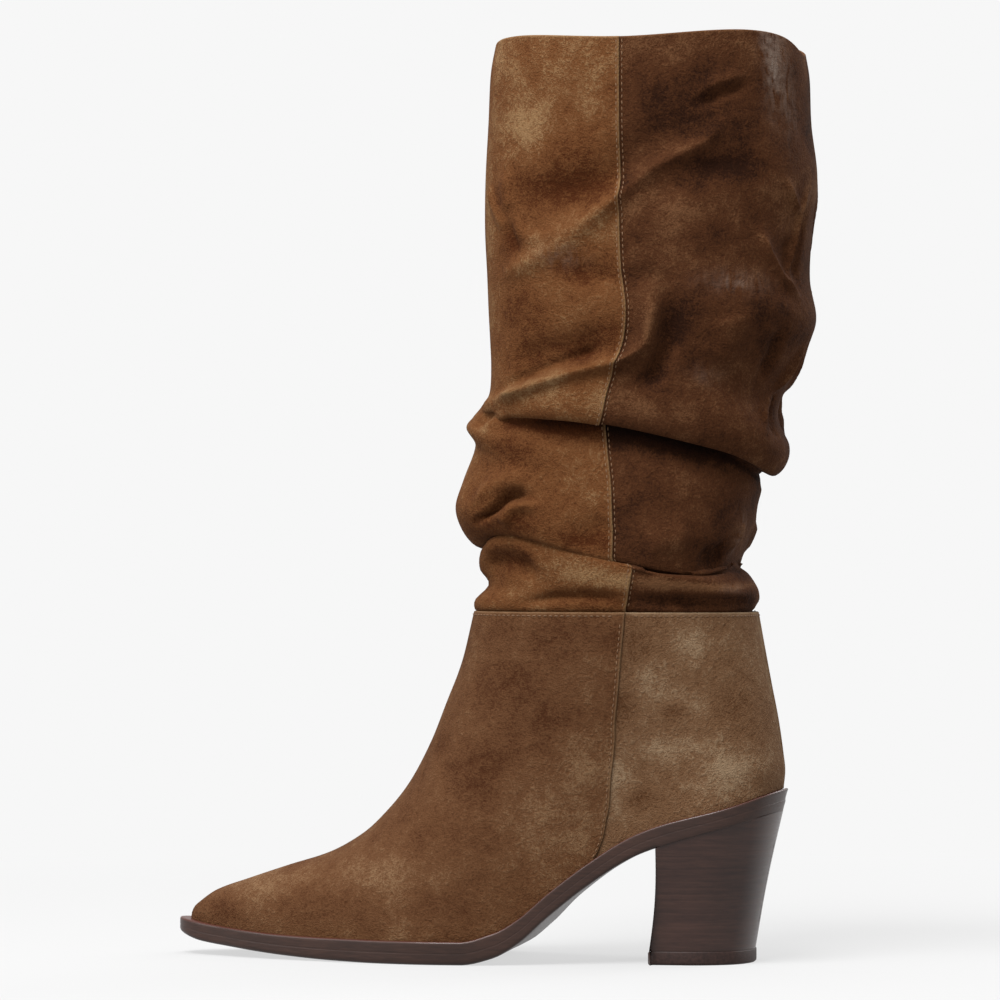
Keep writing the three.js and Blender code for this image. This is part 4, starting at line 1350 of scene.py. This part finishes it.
def suede(name, dark, middle, light, offset, cloudy):
    """Suede: cloudy short fibres, lighter at its worn edges, with grey rubs. Ridges are lighter,
    partly worn and partly painted highlight; troughs carry painted shade, and the darkest spots a
    painted shadow under the lip.
    """
    material, shader, place = new_material(name, 0.95, 0.05)
    place = place.stretched(offset, (1, 1, 1))
    broad = place.noise(BROAD, 2, 0.5, 0.3)
    cloud = place.noise(CLOUD, 2, 0.45, 0.3)
    brushed = place.noise(BRUSHED, 2, 0.5, 0.2)
    grain = place.noise(GRAIN, 2, 0.6)
    fibres = place.noise(FIBRES, 2, 0.75)
    streaks = place.stretched((0, 0, 0), DRAWN_OUT).noise(STREAKS, 3, 0.7, 0.8)
    nap = place.attribute("nap")
    crease = place.attribute("crease")
    edge = place.attribute("edge")
    grey = place.attribute("grey")
    # Ridges lighter: partly worn, partly painted highlight. Troughs darker: painted shade.
    ridge_wear_and_highlight = crease.math("MAXIMUM", crease, 0.0)
    trough_shade = crease.math("MINIMUM", crease, 0.0)
    # The table's spots: nap patches, with painted highlight and painted shade along the creases and
    # under the lip
    tone = nap * 0.8 + (broad + cloud * 0.75) * cloudy + brushed * 0.4
    tone = tone + ridge_wear_and_highlight * 0.09 + trough_shade * 0.05
    tone = tone + grain * 0.6 + fibres * 0.55
    # Below the dark colour lies the painted shadow under the lip
    painted_shadow = tuple(part * PAINTED_SHADOW_SHARE for part in dark[:3]) + (1,)
    colour = tone.ramp(-2.0, -0.8).colours(painted_shadow, dark)
    colour = tone.ramp(-0.9, 0.1).colours(colour, middle)
    colour = tone.ramp(0.0, 1.0).colours(colour, light)
    colour = (edge * (0.8 + brushed * 0.6)).clamp().colours(colour, light)
    colour = (grey * (0.35 + streaks * 1.2 + brushed * 0.5)).clamp().colours(colour, GREY)
    colour.into(shader, "Base Color")
    shader.inputs["Sheen Weight"].default_value = 0.02
    shader.inputs["Sheen Roughness"].default_value = 0.4
    shader.inputs["Sheen Tint"].default_value = light
    add_bump(shader, fibres * 0.4 + grain * 0.7 + brushed * 0.6 + cloud * 0.6, 0.6, 0.7)
    return material


def lining_leather():
    material, shader, place = new_material("tan_lining", 0.6, 0.3)
    grain = place.noise(900, 3, 0.6)
    cloud = place.noise(40, 3)
    tone = cloud * 0.8 + grain * 0.2
    colour = tone.ramp(-0.5, 0.5).colours(linear(150, 118, 86), linear(186, 154, 118))
    colour.into(shader, "Base Color")
    add_bump(shader, grain, 0.3, 0.3)
    return material


def sole_leather():
    """Inked sole edge with fine lines along it; the ledge round its top is redder."""
    material, shader, place = new_material("sole_edge", 0.42, 0.22)
    add_polish(shader, 0.12)
    lines = place.stretched((0, 0, 0), (0.25, 0.5, 3.0)).noise(500, 3, 0.7)
    cloud = place.noise(30, 3)
    ledge = place.attribute("ledge")
    tone = lines * 0.7 + cloud * 0.6
    colour = tone.ramp(-0.7, 0.8).colours(linear(42, 25, 19), linear(74, 47, 36))
    colour = ledge.colours(colour, linear(84, 40, 28))
    colour.into(shader, "Base Color")
    (lines * 0.12 + 0.45).into(shader, "Roughness")
    add_bump(shader, lines, 0.15, 0.1)
    return material


def stacked_leather():
    """Stacked leather: thin level layers of slightly different browns, polished."""
    material, shader, place = new_material("stacked_leather", 0.36, 0.25)
    add_polish(shader, 0.18)
    layers = place.stretched((0, 0, 0), (0.05, 0.05, 1)).noise(420, 2, 0.8)
    threads = place.stretched((0.3, 0.1, 0), (0.12, 0.12, 1)).noise(1100, 3, 0.7)
    cloud = place.noise(35, 3)
    tone = layers * 0.7 + threads * 0.5 + cloud * 0.4
    colour = tone.ramp(-0.8, 0.9).colours(linear(42, 22, 18), linear(80, 52, 42))
    colour.into(shader, "Base Color")
    (threads * 0.1 + 0.36).into(shader, "Roughness")
    add_bump(shader, layers * 0.6 + threads * 0.4, 0.3, 0.12)
    return material


def heel_rubber():
    material, shader, place = new_material("heel_rubber", 0.6, 0.2)
    grain = place.noise(800, 3, 0.6)
    colour = grain.ramp(-0.6, 0.6).colours(linear(42, 26, 22), linear(68, 46, 40))
    colour.into(shader, "Base Color")
    add_bump(shader, grain, 0.3, 0.15)
    return material


def sewing_thread():
    material, shader, place = new_material("tan_thread", 0.6, 0.3)
    twist = place.noise(2500, 2)
    colour = twist.ramp(-0.5, 0.5).colours(linear(108, 74, 46), linear(146, 110, 76))
    colour.into(shader, "Base Color")
    add_bump(shader, twist, 0.4, 0.1)
    return material


ROOM = 3.4                      # metres from the boot to the wall of the studio
CORNER = 1.4                    # radius where floor turns into wall
CEILING = 4.2
FLOOR_RINGS = (0.0, 0.6, 1.3)   # distances from the boot
STUDIO_STEPS = 96               # round the boot
CORNER_STEPS = 16               # up the corner
STUDIO_JOIN = 1e-5
FLOOR_SHADE = 0.29              # how light the paper is where it doesn't glow
WALL_GLOW = 0.93
BLACK = (0, 0, 0, 1)
GLOW_FROM = 0.26                # metres from the boot where the floor's own glow begins
GLOW_TO = 0.7
GLOW_LEAST = 0.68               # share of the floor's brightness beside the boot that is its own glow


def evenly(value):
    """A grey of one brightness."""
    return (value, value, value, 1)


def make_stage():
    """A round pale studio: a floor that turns smoothly into a wall on all sides."""
    bm = bmesh.new()
    line = [(ring, 0.0) for ring in FLOOR_RINGS]
    for angle in np.linspace(0, math.pi / 2, CORNER_STEPS):
        line.append((ROOM - CORNER + CORNER * math.sin(angle), CORNER * (1 - math.cos(angle))))
    line.append((ROOM, CEILING))
    profile = [bm.verts.new((reach, 0, height)) for reach, height in line]
    edges = [bm.edges.new(pair) for pair in zip(profile, profile[1:])]
    bmesh.ops.spin(bm, geom=profile + edges, cent=(0, 0, 0), axis=(0, 0, 1), angle=2 * math.pi,
                   steps=STUDIO_STEPS, use_merge=True)
    bmesh.ops.remove_doubles(bm, verts=bm.verts, dist=STUDIO_JOIN)
    bmesh.ops.recalc_face_normals(bm, faces=bm.faces)
    if sum(face.normal.z for face in bm.faces) < 0:
        bmesh.ops.reverse_faces(bm, faces=bm.faces)
    material, shader, place = new_material("white_paper", 0.9, 0.0)
    reach = place.node("ShaderNodeVectorMath", {"operation": "LENGTH"}, {0: place}, output="Value")
    far = reach.ramp(GLOW_FROM, GLOW_TO) * (1 - GLOW_LEAST) + GLOW_LEAST
    far.colours(evenly(FLOOR_SHADE), BLACK).into(shader, "Base Color")
    far.colours(BLACK, evenly(WALL_GLOW)).into(shader, "Emission Color")
    shader.inputs["Emission Strength"].default_value = 1
    floor = new_object("studio_floor", bm, material)


LAMPS_AIM = (0, 0, 0.18)        # the boot's middle
WORLD_LIGHT = 0.5

# Softboxes: place and size in metres, and power in watts
LAMPS = {
    "key": ((-0.4, -1.4, 2.4), (1.4, 1.1), 160),
    "fill": ((-1.6, -0.9, 1.0), (0.8, 1.2), 16),
    "top": ((0.2, 0.3, 2.6), (1.4, 1.4), 45),
    "back": ((1.4, 1.5, 1.2), (0.8, 1.6), 30),
}


def add_softbox(name, place, size, power):
    light = bpy.data.lights.new(name, "AREA")
    light.shape = "RECTANGLE"
    light.size, light.size_y = size
    light.energy = power
    lamp = bpy.data.objects.new(name, light)
    bpy.context.scene.collection.objects.link(lamp)
    lamp.location = place
    aim = Vector(LAMPS_AIM) - lamp.location
    lamp.rotation_euler = aim.to_track_quat("-Z", "Y").to_euler()


def make_lights():
    world = bpy.data.worlds.new("studio")
    bpy.context.scene.world = world
    world.use_nodes = True
    background = world.node_tree.nodes["Background"]
    background.inputs["Color"].default_value = evenly(1)
    background.inputs["Strength"].default_value = WORLD_LIGHT
    for name, lamp in LAMPS.items():
        add_softbox(name, *lamp)


# The camera's distances are in metres
VIEW_TURN = math.radians(12)    # the camera stands this far round towards the heel
VIEW_DISTANCE = 2.4
VIEW_HEIGHT = 0.1824            # of the camera and of the point it looks at
VIEW_X = 132.2                  # the view's middle, millimetres from the tip of the sole
VIEW_WIDTH = 0.3985             # width of the picture at the boot
SENSOR = 36                     # width of the camera's sensor, in millimetres


def make_camera():
    aim = Vector((TIP + VIEW_X * MM, 0, VIEW_HEIGHT))
    back = Vector((math.sin(VIEW_TURN), -math.cos(VIEW_TURN), 0))
    camera = bpy.data.cameras.new("camera")
    camera.sensor_width = SENSOR
    camera.lens = SENSOR * VIEW_DISTANCE / VIEW_WIDTH
    stand = bpy.data.objects.new("camera", camera)
    bpy.context.scene.collection.objects.link(stand)
    stand.location = aim + back * VIEW_DISTANCE
    stand.rotation_euler = (-back).to_track_quat("-Z", "Y").to_euler()
    bpy.context.scene.camera = stand


# Each suede's dark, middle and light brown, where in its patterns it is cut, and how cloudy it is
SUEDES = {
    "front_suede": ((74, 37, 14), (111, 70, 39), (150, 116, 80), (0.1, 0.3, 0.2), 0.75),
    "back_suede": ((44, 22, 10), (80, 47, 26), (114, 78, 51), (0.7, 0.2, 0.5), 1.0),
    "vamp_suede": ((74, 42, 22), (103, 69, 44), (136, 105, 76), (0.4, 0.9, 0.1), 0.7),
    "quarter_suede": ((88, 57, 34), (120, 88, 62), (156, 130, 102), (0.2, 0.6, 0.8), 0.6),
}

lining = lining_leather()
suedes = {}
for name, (dark, middle, light, offset, cloudy) in SUEDES.items():
    suedes[name] = suede(name, linear(*dark), linear(*middle), linear(*light), offset, cloudy)
make_shaft(suedes["front_suede"], suedes["back_suede"], lining)
make_foot(suedes["vamp_suede"], suedes["quarter_suede"], lining)
make_sole(sole_leather())
make_heel(stacked_leather())
make_lift(heel_rubber())
make_stitches(sewing_thread())
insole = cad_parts["insole"]
insole.data.materials.clear()
insole.data.materials.append(lining)
make_stage()
make_lights()
make_camera()
bpy.context.scene.view_settings.view_transform = "Standard"
